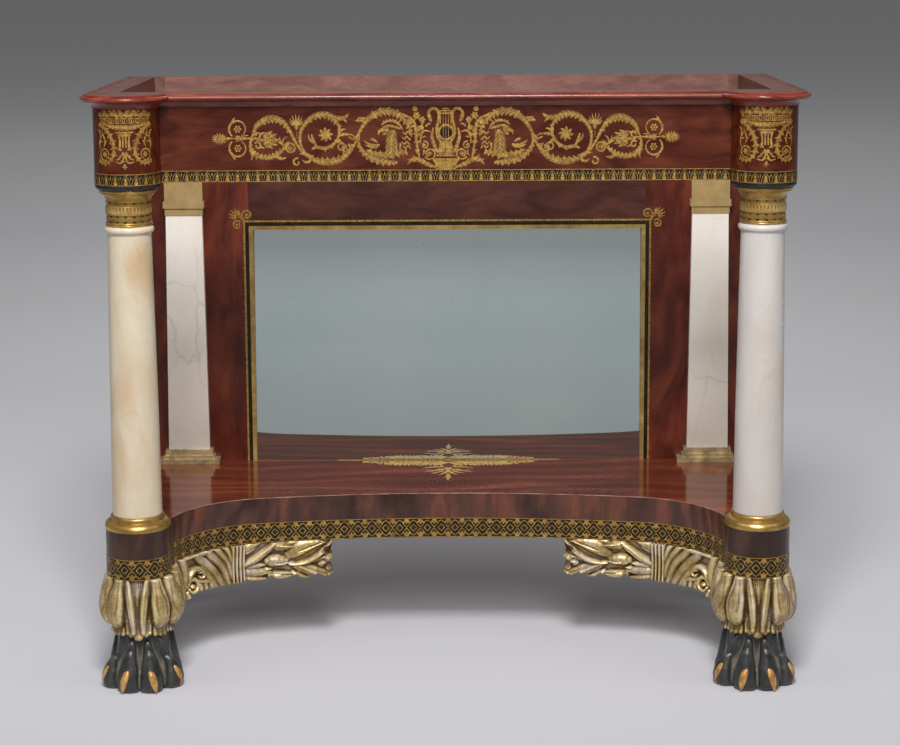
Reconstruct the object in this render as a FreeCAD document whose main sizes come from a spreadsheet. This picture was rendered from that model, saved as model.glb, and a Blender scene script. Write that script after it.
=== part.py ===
import FreeCAD
import Part
import os
import re
import Sketcher

# Pier table: a mahogany case on two stone columns, standing on a concave shelf with a mirrored
# back, two carved front legs with side brackets and two turned rear feet.
# Frame: +Z up from the floor, +X to the right seen from the front, the front faces -Y.
# The origin is on the floor, under the middle of the object's box. Millimetres.

FRONT = "column_y"                       # line through both column axes
BACK = "overall_depth / 2"               # outer face of the back
STILE_FRONT = "(overall_depth / 2 - back_board)"
CASE_SIDE = "(column_x + case_radius)"   # outer face of the side rails
FRIEZE_FRONT = "(column_y + frieze_setback)"
FRIEZE_INNER = "(column_y + frieze_setback + rail_board)"
COLUMN = ("column_x", FRONT)

DIMENSIONS = (
    # alias, value, what it is
    ("overall_depth", 492, "front of the corner mouldings to the back"),
    ("overall_height", 908, "floor to the rim that the slab would lie on"),
    ("column_x", 472.5, "centre of the table to a column axis"),
    ("column_y", -178.5, "column axes, from the middle of the depth"),
    ("case_radius", 49, "round front of the corner blocks and plinths"),
    ("base_bottom", 176.5, "underside of the shelf's frame"),
    ("shelf_top", 250, "top of the shelf"),
    ("shelf_board", 19, "thickness of the shelf board"),
    ("frieze_bottom", 775.5, "underside of the frieze"),
    ("moulding_bottom", 888, "underside of the top moulding"),
    ("frieze_setback", 3, "frieze face behind the line of the column axes"),
    ("rail_board", 32, "thickness of the frieze front rail and the corner blocks' backs"),
    ("side_board", 34.5, "thickness of the side rails"),
    ("back_board", 20.5, "thickness of the back frame"),
    ("post_width", 51.5, "back stile where it runs up behind the frieze"),
    ("tenon_length", 15, "tenons of the front and side rails"),
    ("tongue_length", 11.5, "tongues of the back frame"),
    ("tenon_board", 12, "thickness of the tenons"),
    ("tenon_margin", 15, "shoulder above and below a tenon"),
    ("end_gap", 0.5, "glue space at the end of a tenon"),
    ("side_gap", 0.3, "space around a round dowel or bore"),
    ("mitre_gap", 0.05, "joint between the front moulding and the corner turnings"),
    ("recess_depth", 184, "middle of the shelf's front edge behind the column axes"),
    ("flat_radius", 1608, "long curve of the shelf's front edge"),
    ("hook_radius", 161, "tight curve of the shelf's front edge beside each plinth"),
    ("curve_join", 304, "where the two curves meet, from the centre"),
    ("hook_sine", 0.978, "end of the tight curve: sine of its direction"),
    ("hook_cosine", 0.2086, "end of the tight curve: cosine of its direction"),
    ("half_sine", 0.7, "middle of the tight curve: sine of its direction"),
    ("half_cosine", 0.71414, "middle of the tight curve: cosine of its direction"),
    ("apron_board", 30, "thickness of the curved apron"),
    ("plinth_back", 45, "square back of a plinth behind the column axis"),
    ("rod_radius", 5, "iron rod through a column"),
    ("bore_radius", 6, "bore for the rod through the stone and metal"),
    ("rod_bottom", 208, "lower end of the rod"),
    ("nut_seat", 222.5, "where the rod's washer bears inside a plinth"),
    ("rod_top", 850, "upper end of the rod"),
    ("nut_radius", 9.5, "rod nut across its corners, halved"),
    ("ring_top", 270, "top of the gilt base ring"),
    ("shaft_top", 712.5, "top of the stone shaft"),
    ("capital_top", 768, "top of the gilt capital"),
    ("mirror_half", 334.8, "half the width of the mirror opening"),
    ("mirror_head", 656.5, "top of the mirror opening"),
    ("slip_width", 6.8, "gilt slip around the glass"),
    ("slip_front", 2, "how far the gilt slip stands out of the back frame"),
    ("glass_inset", 1, "foot of the glass behind the face of the back frame"),
    ("glass_board", 3, "thickness of the mirror glass"),
    ("glass_lean", 1.4, "degrees by which the glass leans back"),
    ("brad_radius", 0.8, "brads that hold the backboard"),
    ("brad_length", 12, "length of a brad"),
    ("glass_rise", 0.2, "foot of the glass above its rail"),
    ("backboard_front", 14.1, "front of the backboard behind the face of the back frame"),
    ("backboard", 4, "thickness of the backboard"),
    ("pilaster_x", 442.5, "centre of the table to the middle of a pilaster"),
    ("pilaster_board", 13, "thickness of a pilaster"),
    ("pilaster_foot", 273.5, "bottom of the stone pilaster"),
    ("pilaster_head", 676.5, "top of the stone pilaster"),
    ("leg_x", 469.5, "centre of the table to the middle of a front leg"),
    ("knee_bottom", 88, "joint between the leaf knee and the paw"),
    ("dowel_radius", 16, "round tenons of the front legs"),
    ("dowel_length", 30, "length of those tenons"),
    ("bracket_end", 184, "free end of a bracket from the centre"),
    ("bracket_front", 6, "bracket in front of the apron"),
    ("bracket_board", 40, "thickness of a bracket"),
    ("bracket_clear", 67.5, "bracket's end from the middle of the leg"),
    ("rear_foot_x", 494, "centre of the table to a rear foot"),
    ("rear_foot_y", 214, "rear feet behind the middle of the depth"),
    ("block_side", 30, "glue blocks"),
)

document = FreeCAD.newDocument("PierTable")
sheet = document.addObject("Spreadsheet::Sheet", "Sizes")
for row, (alias, value, meaning) in enumerate(DIMENSIONS, start=1):
    sheet.set(f"A{row}", alias)
    sheet.set(f"B{row}", str(value))
    sheet.set(f"C{row}", meaning)
    sheet.setAlias(f"B{row}", alias)
document.recompute()

ALIASES = {alias for alias, _, _ in DIMENSIONS}
NODES = []


def bound(text):
    """The expression with each alias written as a cell of the sheet."""
    return re.sub(r"[a-z_]+", lambda found: f"Sizes.{found[0]}" if found[0] in ALIASES else found[0],
                  str(text))


def size(text):
    """What an expression comes to, in millimetres."""
    return float(sheet.evalExpression(bound(text)))


def bind(thing, name, text):
    thing.setExpression(name, bound(text))


def node(thing, label):
    """Keeps an object as one of the table's pieces under its own name."""
    thing.Label = label
    NODES.append(thing)
    return thing


def place(thing, x_at="0", y_at="0", z_at="0"):
    bind(thing, "Placement.Base.x", x_at)
    bind(thing, "Placement.Base.y", y_at)
    bind(thing, "Placement.Base.z", z_at)


# ---- building blocks: sizes are expressions in the words of the sheet ----

def box(name, x_range, y_range, z_range):
    thing = document.addObject("Part::Box", name)
    for side, (low, high) in zip(("Length", "Width", "Height"), (x_range, y_range, z_range)):
        bind(thing, side, f"({high}) - ({low})")
    place(thing, x_range[0], y_range[0], z_range[0])
    return thing


def rod(name, radius, at, z_range):
    """An upright cylinder."""
    thing = document.addObject("Part::Cylinder", name)
    bind(thing, "Radius", radius)
    bind(thing, "Height", f"({z_range[1]}) - ({z_range[0]})")
    place(thing, at[0], at[1], z_range[0])
    return thing


def joined(name, things):
    thing = document.addObject("Part::MultiFuse", name)
    thing.Shapes = things
    return thing


def grouped(name, things):
    thing = document.addObject("Part::Compound", name)
    thing.Links = things
    return thing


def cut(name, base, tools):
    thing = document.addObject("Part::Cut", name)
    thing.Base = base
    thing.Tool = tools[0] if len(tools) == 1 else joined(name + "_tools", tools)
    return thing


def common(name, first, second):
    thing = document.addObject("Part::MultiCommon", name)
    thing.Shapes = [first, second]
    return thing


def unnamed_mirror(thing, name):
    """The same form on the table's left side."""
    other = document.addObject("Part::Mirroring", name)
    other.Source = thing
    other.Normal = FreeCAD.Vector(1, 0, 0)
    return other


def mirrored(thing, label):
    """The same piece on the table's left side."""
    return node(unnamed_mirror(thing, label), label)


def both_sides(name, thing):
    """A cutter and its mirror image."""
    return [thing, unnamed_mirror(thing, name + "_left")]


def origin_plane(body, role):
    return next(feature for feature in body.Origin.OriginFeatures if feature.Role == role)


def corner_of(step):
    """Where a step of an outline ends."""
    return step[2] if step[0] == "arc" else step


def backwards(outline):
    """The same corners and arcs drawn from the last to the first."""
    corners = [corner_of(step) for step in outline]
    steps = [corners[-1]]
    for index in range(len(outline) - 1, 0, -1):
        corner = corners[index - 1]
        is_arc = outline[index][0] == "arc"
        steps.append(("arc", outline[index][1], corner) if is_arc else corner)
    return steps


def outline_sketch(body, role, outline, height="0"):
    """A closed outline of corners (across, up) and arcs ("arc", through, corner).

    Every corner and every point that an arc passes through is held to the sheet."""
    sketch = body.newObject("Sketcher::SketchObject", body.Name + "_outline")
    sketch.AttachmentSupport = [(origin_plane(body, role), "")]
    sketch.MapMode = "FlatFace"
    bind(sketch, "AttachmentOffset.Base.z", height)

    def point(corner):
        return FreeCAD.Vector(size(corner[0]), size(corner[1]), 0)

    rules = []
    bindings = []

    def hold(geometry, vertex, corner):
        for kind, text in (("DistanceX", corner[0]), ("DistanceY", corner[1])):
            bindings.append((len(rules), text))
            rules.append(Sketcher.Constraint(kind, -1, 1, geometry, vertex, size(text)))

    steps = list(outline[1:])
    if corner_of(steps[-1]) != outline[0]:
        steps.append(outline[0])
    last = outline[0]
    ends = []
    for step in steps:
        is_arc = step[0] == "arc"
        corner = corner_of(step)
        if is_arc:
            curve = Part.ArcOfCircle(point(last), point(step[1]), point(corner))
        else:
            curve = Part.LineSegment(point(last), point(corner))
        index = sketch.addGeometry(curve)
        # a sketch counts its arcs anticlockwise, so an arc may start where its step ends
        starts_here = (sketch.getPoint(index, 1) - point(last)).Length < 1e-6
        first, second = (1, 2) if starts_here else (2, 1)
        if ends:
            rules.append(Sketcher.Constraint("Coincident", ends[-1][0], ends[-1][2], index, first))
        hold(index, first, last)
        ends.append((index, first, second))
        if is_arc:
            passing = sketch.addGeometry(Part.Point(point(step[1])), True)
            hold(passing, 1, step[1])
            rules.append(Sketcher.Constraint("PointOnObject", passing, 1, index))
        last = corner
    rules.append(Sketcher.Constraint("Coincident", ends[-1][0], ends[-1][2], ends[0][0], ends[0][1]))
    sketch.addConstraint(rules)
    for number, text in bindings:
        bind(sketch, f"Constraints[{number}]", text)
    return sketch


def slab(name, role, outline, start, length):
    """A board of the given outline, padded along +X, +Y or +Z from start."""
    body = document.addObject("PartDesign::Body", name)
    backwards = role == "XZ_Plane"       # that plane's own normal is -Y
    sketch = outline_sketch(body, role, outline, f"-({start})" if backwards else start)
    pad = body.newObject("PartDesign::Pad", name + "_pad")
    pad.Profile = sketch
    bind(pad, "Length", length)
    pad.Reversed = backwards
    sketch.Visibility = False
    return body


def towards_front(outline):
    """The same outline with its first coordinate counted towards the front, -Y."""
    def flipped(corner):
        return (f"-({corner[0]})", corner[1])
    return [("arc", flipped(step[1]), flipped(step[2])) if step[0] == "arc" else flipped(step)
            for step in outline]


def turned(name, outline, at, half=False):
    """A lathe-turned piece: outline of (radius, height), or its front half only."""
    body = document.addObject("PartDesign::Body", name)
    if half:
        sketch = outline_sketch(body, "YZ_Plane", towards_front(outline))
    else:
        sketch = outline_sketch(body, "XZ_Plane", outline)
    turn = body.newObject("PartDesign::Revolution", name + "_turn")
    turn.Profile = sketch
    turn.ReferenceAxis = (sketch, ["V_Axis"])
    turn.Angle = 180 if half else 360
    turn.Midplane = half
    place(body, at[0], at[1])
    return body


# ---- the frieze: a rectangular frame between two round-fronted corner blocks ----

TENON = ("frieze_bottom + tenon_margin", "overall_height - tenon_margin")
FRIEZE = ("frieze_bottom", "overall_height")
RAIL_TENON = (f"{FRIEZE_FRONT} + 10", f"{FRIEZE_FRONT} + 10 + tenon_board")
SIDE_TENON = (f"{CASE_SIDE} - 11 - tenon_board", f"{CASE_SIDE} - 11")
SIDE_INNER = f"{CASE_SIDE} - side_board"
BLOCK_INNER = "(column_x - case_radius)"
TONGUE = (f"{STILE_FRONT} + 6", f"{STILE_FRONT} + 15")
TENON_INTO_STILE = "9"


def frieze_front_rail():
    board = box("front_rail_board", (f"-{BLOCK_INNER}", BLOCK_INNER),
                (FRIEZE_FRONT, FRIEZE_INNER), FRIEZE)
    tenons = box("front_rail_tenons", (f"-({BLOCK_INNER} + tenon_length - end_gap)",
                                       f"{BLOCK_INNER} + tenon_length - end_gap"),
                 RAIL_TENON, TENON)
    node(joined("front_rail", [board, tenons]), "frieze_front_rail")


def corner_blocks():
    block = slab("corner_block", "XY_Plane", [
        (BLOCK_INNER, FRIEZE_INNER),
        (BLOCK_INNER, FRONT),
        ("arc", ("column_x", f"{FRONT} - case_radius"), (CASE_SIDE, FRONT)),
        (CASE_SIDE, FRIEZE_INNER),
    ], "frieze_bottom", "overall_height - frieze_bottom")
    mortise = box("front_mortise", (BLOCK_INNER, f"{BLOCK_INNER} + tenon_length"), RAIL_TENON, TENON)
    side_mortise = box("side_mortise", SIDE_TENON,
                       (f"{FRIEZE_INNER} - tenon_length", FRIEZE_INNER), TENON)
    bore = rod("block_bore", "rod_radius + side_gap", ("column_x", FRONT),
               ("frieze_bottom", "rod_top + end_gap"))
    right = node(cut("block", block, [mortise, side_mortise, bore]), "corner_block_right")
    mirrored(right, "corner_block_left")


def frieze_side_rails():
    board = box("side_board", (SIDE_INNER, CASE_SIDE), (FRIEZE_INNER, STILE_FRONT), FRIEZE)
    tenons = box("side_tenons", SIDE_TENON, (f"{FRIEZE_INNER} - tenon_length + end_gap",
                                             f"{STILE_FRONT} + {TENON_INTO_STILE}"), TENON)
    right = node(joined("side_rail", [board, tenons]), "frieze_side_rail_right")
    mirrored(right, "frieze_side_rail_left")


# ---- the back frame: two tall stiles with three rails tongued between them ----

POST_INNER = f"({CASE_SIDE} - post_width)"
HEAD_TONGUE = ("mirror_head + 8", "frieze_bottom - 8")
FOOT_TONGUE = ("base_bottom + 8", "shelf_top - 8")
FOOT_TENON = ("base_bottom + 10", "shelf_top - shelf_board - 10")


BACKBOARD_FRONT = f"({STILE_FRONT} + backboard_front)"
BRAD_Y = f"({BACKBOARD_FRONT} + backboard + brad_radius)"
BRAD_HEIGHTS = (290, 400, 510, 620)


def brads(name, radius="brad_radius", extra="0"):
    """Headless pins driven into the right stile behind the backboard, or their holes."""
    pins = []
    for height in BRAD_HEIGHTS:
        pin = document.addObject("Part::Cylinder", f"{name}_{height}")
        pin.Placement = FreeCAD.Placement(FreeCAD.Vector(), FreeCAD.Rotation(FreeCAD.Vector(0, 1, 0), 90))
        bind(pin, "Radius", radius)
        bind(pin, "Height", f"brad_length + {extra}")
        place(pin, "mirror_half - brad_length / 2", BRAD_Y, height)
        pins.append(pin)
    return pins


def back_rail(name, half_width, heights, tongue_heights):
    board = box(name + "_board", (f"-({half_width})", half_width),
                (STILE_FRONT, BACK), heights)
    tongues = box(name + "_tongues", (f"-({half_width} + tongue_length)",
                                      f"{half_width} + tongue_length"), TONGUE, tongue_heights)
    node(joined(name + "_whole", [board, tongues]), name)


def back_stiles():
    stile = slab("back_stile", "XZ_Plane", [
        ("mirror_half", "base_bottom"),
        (CASE_SIDE, "base_bottom"),
        (CASE_SIDE, "overall_height"),
        (POST_INNER, "overall_height"),
        (POST_INNER, "frieze_bottom"),
        ("mirror_half", "frieze_bottom"),
    ], STILE_FRONT, "back_board")
    grooves = [
        box("head_groove", ("mirror_half", "mirror_half + tongue_length + end_gap"), TONGUE, HEAD_TONGUE),
        box("foot_groove", ("mirror_half", "mirror_half + tongue_length + end_gap"), TONGUE, FOOT_TONGUE),
        box("rim_groove", (POST_INNER, f"{POST_INNER} + tongue_length + end_gap"), TONGUE, TENON),
        box("upper_mortise", SIDE_TENON,
            (STILE_FRONT, f"{STILE_FRONT} + {TENON_INTO_STILE} + end_gap"), TENON),
        box("lower_mortise", SIDE_TENON,
            (STILE_FRONT, f"{STILE_FRONT} + {TENON_INTO_STILE} + end_gap"), FOOT_TENON),
    ]
    grooves += brads("brad_hole", "brad_radius + 0.05", "end_gap")
    right = node(cut("stile", stile, grooves), "back_stile_right")
    mirrored(right, "back_stile_left")


def back_frame():
    back_stiles()
    back_rail("frieze_back_rail", POST_INNER, FRIEZE, TENON)
    back_rail("back_head_rail", "mirror_half", ("mirror_head", "frieze_bottom"), HEAD_TONGUE)
    back_rail("shelf_back_rail", "mirror_half", ("base_bottom", "shelf_top"), FOOT_TONGUE)


# ---- the moulding planted around the rim: a cove, a round and a fillet ----

def moulding_profile(face):
    """Out from the face that the moulding is planted on, and up."""
    def at(out, up):
        return (f"{face} + {out}", f"moulding_bottom + {up}")
    return [
        at(0, 0), at(1.6, 0), at(1.6, 1.2),
        ("arc", at(6.1, 7.7), at(13.6, 10.4)),
        at(15.5, 10.4), at(15.5, 11.2),
        ("arc", at(18.5, 14.2), at(15.5, 17.2)),
        at(13.2, 17.2), at(12.5, 18), at(12.5, 20), at(0, 20),
    ]


def top_mouldings():
    run = slab("front_run", "YZ_Plane", towards_front(moulding_profile(f"-{FRIEZE_FRONT}")),
               f"-{BLOCK_INNER}", f"2 * {BLOCK_INNER}")
    # the corner turnings, filled to their axes, are cut from the ends of the front run
    filled = moulding_profile("(case_radius + mitre_gap)")
    filled = [("0", "moulding_bottom")] + filled[1:-1] + [("0", "moulding_bottom + 20")]
    turning = turned("right_turning", filled, COLUMN, half=True)
    node(cut("front_moulding", run, both_sides("right_turning", turning)), "top_moulding_front")
    corner = node(turned("corner_turning", moulding_profile("case_radius"), COLUMN, half=True),
                  "top_moulding_corner_right")
    mirrored(corner, "top_moulding_corner_left")
    side = node(slab("side_run", "XZ_Plane", moulding_profile(CASE_SIDE), FRONT,
                     f"{BACK} - {FRONT}"), "top_moulding_side_right")
    mirrored(side, "top_moulding_side_left")


# ---- the columns: stone shafts between turned gilt rings, drawn together by iron rods ----

def bored(outline, radius="bore_radius"):
    """A turned outline closed by the bore for the rod."""
    return [(radius, outline[0][1])] + outline + [(radius, corner_of(outline[-1])[1])]


ABACUS = [
    (46.2, "capital_top"), (48.6, "capital_top + 3"), (48.6, "frieze_bottom"),
]
CAPITAL = [
    (33.2, "shaft_top"), (34, "shaft_top + 0.6"),
    ("arc", (35, "shaft_top + 2"), (33.8, "shaft_top + 3.2")),
    ("arc", (34.6, "shaft_top + 4.4"), (33.4, "shaft_top + 5.6")),
    (32.4, "shaft_top + 6.2"), (32.4, "shaft_top + 8.4"),
    (33.6, "shaft_top + 9.2"), (33.6, "shaft_top + 13.6"),
    (32.4, "shaft_top + 14.4"), (32.4, "shaft_top + 16.6"),
    (33.8, "shaft_top + 17.4"), (33.8, "shaft_top + 30.6"),
    (32.4, "shaft_top + 31.4"), (32.4, "shaft_top + 35.4"),
    (34, "shaft_top + 36.2"), (34, "shaft_top + 39.2"),
    ("arc", (36.2, "shaft_top + 45"), (41.4, "shaft_top + 49.4")),
    (42.2, "shaft_top + 49.4"), (42.2, "shaft_top + 51"),
    ("arc", (43.8, "shaft_top + 53.2"), (43, "capital_top")),
]
SHAFT = [
    (37.2, "ring_top"), (37.7, "ring_top + 1"),
    ("arc", (35.6, "ring_top + 215"), (32.6, "shaft_top - 13.4")),
    (34, "shaft_top - 11"),
    ("arc", (36.9, "shaft_top - 6"), (34.2, "shaft_top - 0.8")),
    (33.4, "shaft_top"),
]
BASE_RING = [
    (49.8, "shelf_top"), (49.8, "shelf_top + 4.4"),
    ("arc", (47.2, "shelf_top + 9.4"), (42, "shelf_top + 12.4")),
    (40.4, "shelf_top + 13.2"), (40.4, "shelf_top + 14.2"),
    ("arc", (41, "shelf_top + 16.8"), (39.2, "ring_top")),
]


def columns():
    for name, outline in (("abacus", ABACUS), ("capital", CAPITAL), ("column_shaft", SHAFT),
                          ("column_base_ring", BASE_RING)):
        right = node(turned(name, bored(outline), COLUMN), name + "_right")
        mirrored(right, name + "_left")


def tie_rods():
    rods, nuts, washers = [], [], []
    for side, x_at in (("right", "column_x"), ("left", "-column_x")):
        at = (x_at, FRONT)
        rods.append(rod("rod_" + side, "rod_radius", at, ("rod_bottom", "rod_top")))
        washer = rod("washer_disc_" + side, "dowel_radius - 2", at, ("nut_seat - 2", "nut_seat"))
        hole = rod("washer_hole_" + side, "rod_radius + 0.2", at, ("nut_seat - 3", "nut_seat + 1"))
        washers.append(cut("washer_" + side, washer, [hole]))
        nut = document.addObject("Part::Prism", "nut_body_" + side)
        nut.Polygon = 6
        bind(nut, "Circumradius", "nut_radius")
        bind(nut, "Height", "8")
        place(nut, x_at, FRONT, "nut_seat - 10")
        bore = rod("nut_bore_" + side, "rod_radius + 0.1", at, ("nut_seat - 11", "nut_seat - 1"))
        nuts.append(cut("nut_" + side, nut, [bore]))
    node(grouped("rods", rods), "column_tie_rods")
    node(grouped("nuts", nuts), "tie_rod_nuts")
    node(grouped("washers", washers), "tie_rod_washers")


# ---- the shelf: a frame with a concave front between the two plinths ----

JOIN_SINE = "(curve_join / flat_radius)"
JOIN_COSINE = f"sqrt(1 - {JOIN_SINE}^2)"
FLAT_CENTRE = f"({FRONT} + recess_depth - flat_radius)"
HOOK_X = "(curve_join * (1 - hook_radius / flat_radius))"
HOOK_Y = f"({FLAT_CENTRE} + (flat_radius - hook_radius) * {JOIN_COSINE})"


def on_flat(sine, cosine, offset="0", side=""):
    """A point of the long curve, moved back by offset."""
    return (f"{side}(flat_radius + {offset}) * {sine}",
            f"{FLAT_CENTRE} + (flat_radius + {offset}) * {cosine}")


def on_hook(sine, cosine, offset="0", side=""):
    """A point of the tight curve beside a plinth, moved back by offset."""
    return (f"{side}({HOOK_X} + (hook_radius + {offset}) * {sine})",
            f"{HOOK_Y} + (hook_radius + {offset}) * {cosine}")


def front_edge(offset="0"):
    """The whole concave edge from the left plinth to the right one."""
    return [
        on_hook("hook_sine", "hook_cosine", offset, "-"),
        ("arc", on_hook("half_sine", "half_cosine", offset, "-"),
         on_flat(JOIN_SINE, JOIN_COSINE, offset, "-")),
        ("arc", ("0", f"{FLAT_CENTRE} + flat_radius + {offset}"),
         on_flat(JOIN_SINE, JOIN_COSINE, offset)),
        ("arc", on_hook("half_sine", "half_cosine", offset), on_hook("hook_sine", "hook_cosine", offset)),
    ]


def plinth_outline(gap="0"):
    """Plan of the right plinth: a round drum with a square back on its outer side."""
    radius = f"(case_radius + {gap})"
    inner = "(column_x - 20.5)"
    chord = f"sqrt({radius}^2 - 20.5^2)"
    return [
        (f"{CASE_SIDE} + {gap}", FRONT),
        (f"{CASE_SIDE} + {gap}", f"{FRONT} + plinth_back"),
        (inner, f"{FRONT} + plinth_back"),
        (inner, f"{FRONT} + {chord}"),
        ("arc", (f"column_x - {radius} * sqrt(0.5)", f"{FRONT} - {radius} * sqrt(0.5)"),
         (f"{CASE_SIDE} + {gap}", FRONT)),
    ]


def plinth_space(name):
    """The plinth's plan with the gap around it, as a cutter for what meets it."""
    return slab(name, "XY_Plane", plinth_outline("side_gap"),
                "base_bottom - 1", "shelf_top - base_bottom + 2")


APRON_TOP = "(shelf_top - shelf_board)"
LOWER_RAIL = ("base_bottom", APRON_TOP)
PLINTH_BACK = f"({FRONT} + plinth_back)"
DOWEL_X = "(column_x - 27)"
DOWEL_HEIGHTS = ("base_bottom + 16", "base_bottom + 38")
BRACKET_MIDDLE = "(bracket_board / 2 - bracket_front)"
SCREW_PLACES = (
    ("230", f"{FLAT_CENTRE} + sqrt((flat_radius + {BRACKET_MIDDLE})^2 - 230^2)"),
    ("350", f"{HOOK_Y} + sqrt((hook_radius + {BRACKET_MIDDLE})^2 - (350 - {HOOK_X})^2)"),
)
SCREW_SEAT = "(base_bottom - 32)"
SCREW_TIP = "(base_bottom + 31)"


def shelf_board():
    outline = front_edge() + [
        ("column_x - 10", f"{FRONT} + 10"), (CASE_SIDE, f"{FRONT} + 10"), (CASE_SIDE, STILE_FRONT),
        (f"-{CASE_SIDE}", STILE_FRONT), (f"-{CASE_SIDE}", f"{FRONT} + 10"),
        ("-(column_x - 10)", f"{FRONT} + 10"),
    ]
    board = slab("shelf_plan", "XY_Plane", outline, APRON_TOP, "shelf_board")
    node(cut("shelf", board, both_sides("shelf_notch", plinth_space("shelf_notch"))), "shelf_board")


def lying_dowels(name, radius, extra="0"):
    """The two dowels from the apron's right end into its plinth, or their holes."""
    dowels = []
    for number, height in enumerate(DOWEL_HEIGHTS):
        dowel = document.addObject("Part::Cylinder", f"{name}_{number}")
        dowel.Placement = FreeCAD.Placement(FreeCAD.Vector(),
                                            FreeCAD.Rotation(FreeCAD.Vector(1, 0, 0), -90))
        bind(dowel, "Radius", radius)
        bind(dowel, "Height", f"54 + 2 * {extra}")
        place(dowel, DOWEL_X, f"{FRONT} + 12 - {extra}", height)
        dowels.append(dowel)
    return dowels


def shelf_front_apron():
    apron = slab("apron_plan", "XY_Plane", front_edge() + backwards(front_edge("apron_board")),
                 "base_bottom", f"{APRON_TOP} - base_bottom")
    holes = lying_dowels("apron_hole", "4.1", "end_gap")
    holes += [rod(f"apron_pilot_{x_at}", "2.3", (x_at, y_at), ("base_bottom - 1", f"{SCREW_TIP} + end_gap"))
              for x_at, y_at in SCREW_PLACES]
    spaces = both_sides("apron_end", plinth_space("apron_end"))
    spaces += both_sides("apron_holes", joined("apron_holes", holes))
    node(cut("apron", apron, spaces), "shelf_front_apron")
    dowels = joined("dowels_right", lying_dowels("dowel", "4"))
    node(grouped("dowels", [dowels, unnamed_mirror(dowels, "dowels_left")]), "apron_dowels")


def plinth_drums():
    plinth = slab("plinth_plan", "XY_Plane", plinth_outline(), "base_bottom", "shelf_top - base_bottom")
    holes = lying_dowels("plinth_hole", "4.1", "end_gap")
    holes.append(rod("plinth_bore", "rod_radius + side_gap", COLUMN, ("base_bottom", "shelf_top")))
    holes.append(rod("plinth_socket", "dowel_radius + side_gap", COLUMN, ("base_bottom", "nut_seat")))
    holes.append(box("plinth_mortise", SIDE_TENON, (f"{PLINTH_BACK} - 12", PLINTH_BACK), FOOT_TENON))
    right = node(cut("plinth", plinth, holes), "plinth_drum_right")
    mirrored(right, "plinth_drum_left")


def shelf_side_rails():
    board = box("lower_board", (SIDE_INNER, CASE_SIDE), (PLINTH_BACK, STILE_FRONT), LOWER_RAIL)
    tenons = box("lower_tenons", SIDE_TENON, (f"{PLINTH_BACK} - 12 + end_gap",
                                              f"{STILE_FRONT} + {TENON_INTO_STILE}"), FOOT_TENON)
    socket = rod("foot_socket", "7 + side_gap", ("rear_foot_x", "rear_foot_y"),
                 ("base_bottom - 1", "base_bottom + 25.5"))
    whole = joined("lower_rail", [board, tenons])
    right = node(cut("lower_side_rail", whole, [socket]), "shelf_side_rail_right")
    mirrored(right, "shelf_side_rail_left")


# ---- the front legs: a leaf-carved knee over a paw of four toes ----

KNEE_SECTIONS = (
    # height, radius, how far back its centre lies
    ("knee_bottom", 48, 1), ("knee_bottom + 10", 54.5, 2), ("knee_bottom + 22", 64, 3),
    ("knee_bottom + 36", 67, 3), ("knee_bottom + 52", 65, 3), ("knee_bottom + 68", 56.5, 1),
    ("knee_bottom + 80", 50, 0), ("base_bottom", 48.5, 0),
)
PAW_SECTIONS = (
    (0, 46, 4), (14, 50, 4), (34, 51, 3), (50, 50.5, 2), (64, 48, 1), ("knee_bottom", 44, 1),
)
TOES = (
    # across from the leg's middle, in front of it, degrees turned outwards
    (-43, 6, -50), (-22, 30, -12), (22, 30, 12), (43, 6, 50),
)


def lofted(name, sections):
    """A carved round form through level circles: height, radius, how far back each centre is."""
    body = document.addObject("PartDesign::Body", name)
    circles = []
    for number, (height, radius, back) in enumerate(sections):
        sketch = body.newObject("Sketcher::SketchObject", f"{name}_section_{number}")
        sketch.AttachmentSupport = [(origin_plane(body, "XY_Plane"), "")]
        sketch.MapMode = "FlatFace"
        bind(sketch, "AttachmentOffset.Base.z", height)
        sketch.addGeometry(Part.Circle(FreeCAD.Vector(0, back, 0), FreeCAD.Vector(0, 0, 1), radius))
        sketch.addConstraint([
            Sketcher.Constraint("DistanceX", -1, 1, 0, 3, 0.0),
            Sketcher.Constraint("DistanceY", -1, 1, 0, 3, float(back)),
            Sketcher.Constraint("Radius", 0, float(radius)),
        ])
        circles.append(sketch)
    loft = body.newObject("PartDesign::AdditiveLoft", name + "_loft")
    loft.Profile = circles[0]
    loft.Sections = circles[1:]
    place(body, "leg_x", FRONT)
    return body


def leaf_knees():
    knee = lofted("knee_form", KNEE_SECTIONS)
    tenon = rod("knee_tenon", "dowel_radius", COLUMN, ("base_bottom - 5", "base_bottom + dowel_length"))
    socket = rod("knee_socket", "dowel_radius + side_gap", ("leg_x", FRONT),
                 ("knee_bottom - 1", "knee_bottom + dowel_length + end_gap"))
    right = node(cut("knee", joined("knee_whole", [knee, tenon]), [socket]), "leaf_knee_right")
    mirrored(right, "leaf_knee_left")


def paws():
    forms = [lofted("paw_form", PAW_SECTIONS)]
    forms.append(rod("paw_tenon", "dowel_radius", ("leg_x", FRONT),
                     ("knee_bottom - 5", "knee_bottom + dowel_length")))
    for number, (across, forward, turn) in enumerate(TOES):
        toe = document.addObject("Part::Ellipsoid", f"toe_{number}")
        toe.Radius1 = 20
        toe.Radius2 = 17
        toe.Radius3 = 25
        toe.Placement = FreeCAD.Placement(FreeCAD.Vector(), FreeCAD.Rotation(FreeCAD.Vector(0, 0, 1), turn))
        place(toe, f"leg_x + {across}", f"{FRONT} - {forward}", "17")
        forms.append(toe)
    below = box("paw_floor", ("leg_x - 90", "leg_x + 90"), (f"{FRONT} - 90", f"{FRONT} + 90"), ("-30", "0"))
    right = node(cut("paw", joined("paw_whole", forms), [below]), "paw_right")
    mirrored(right, "paw_left")


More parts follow.
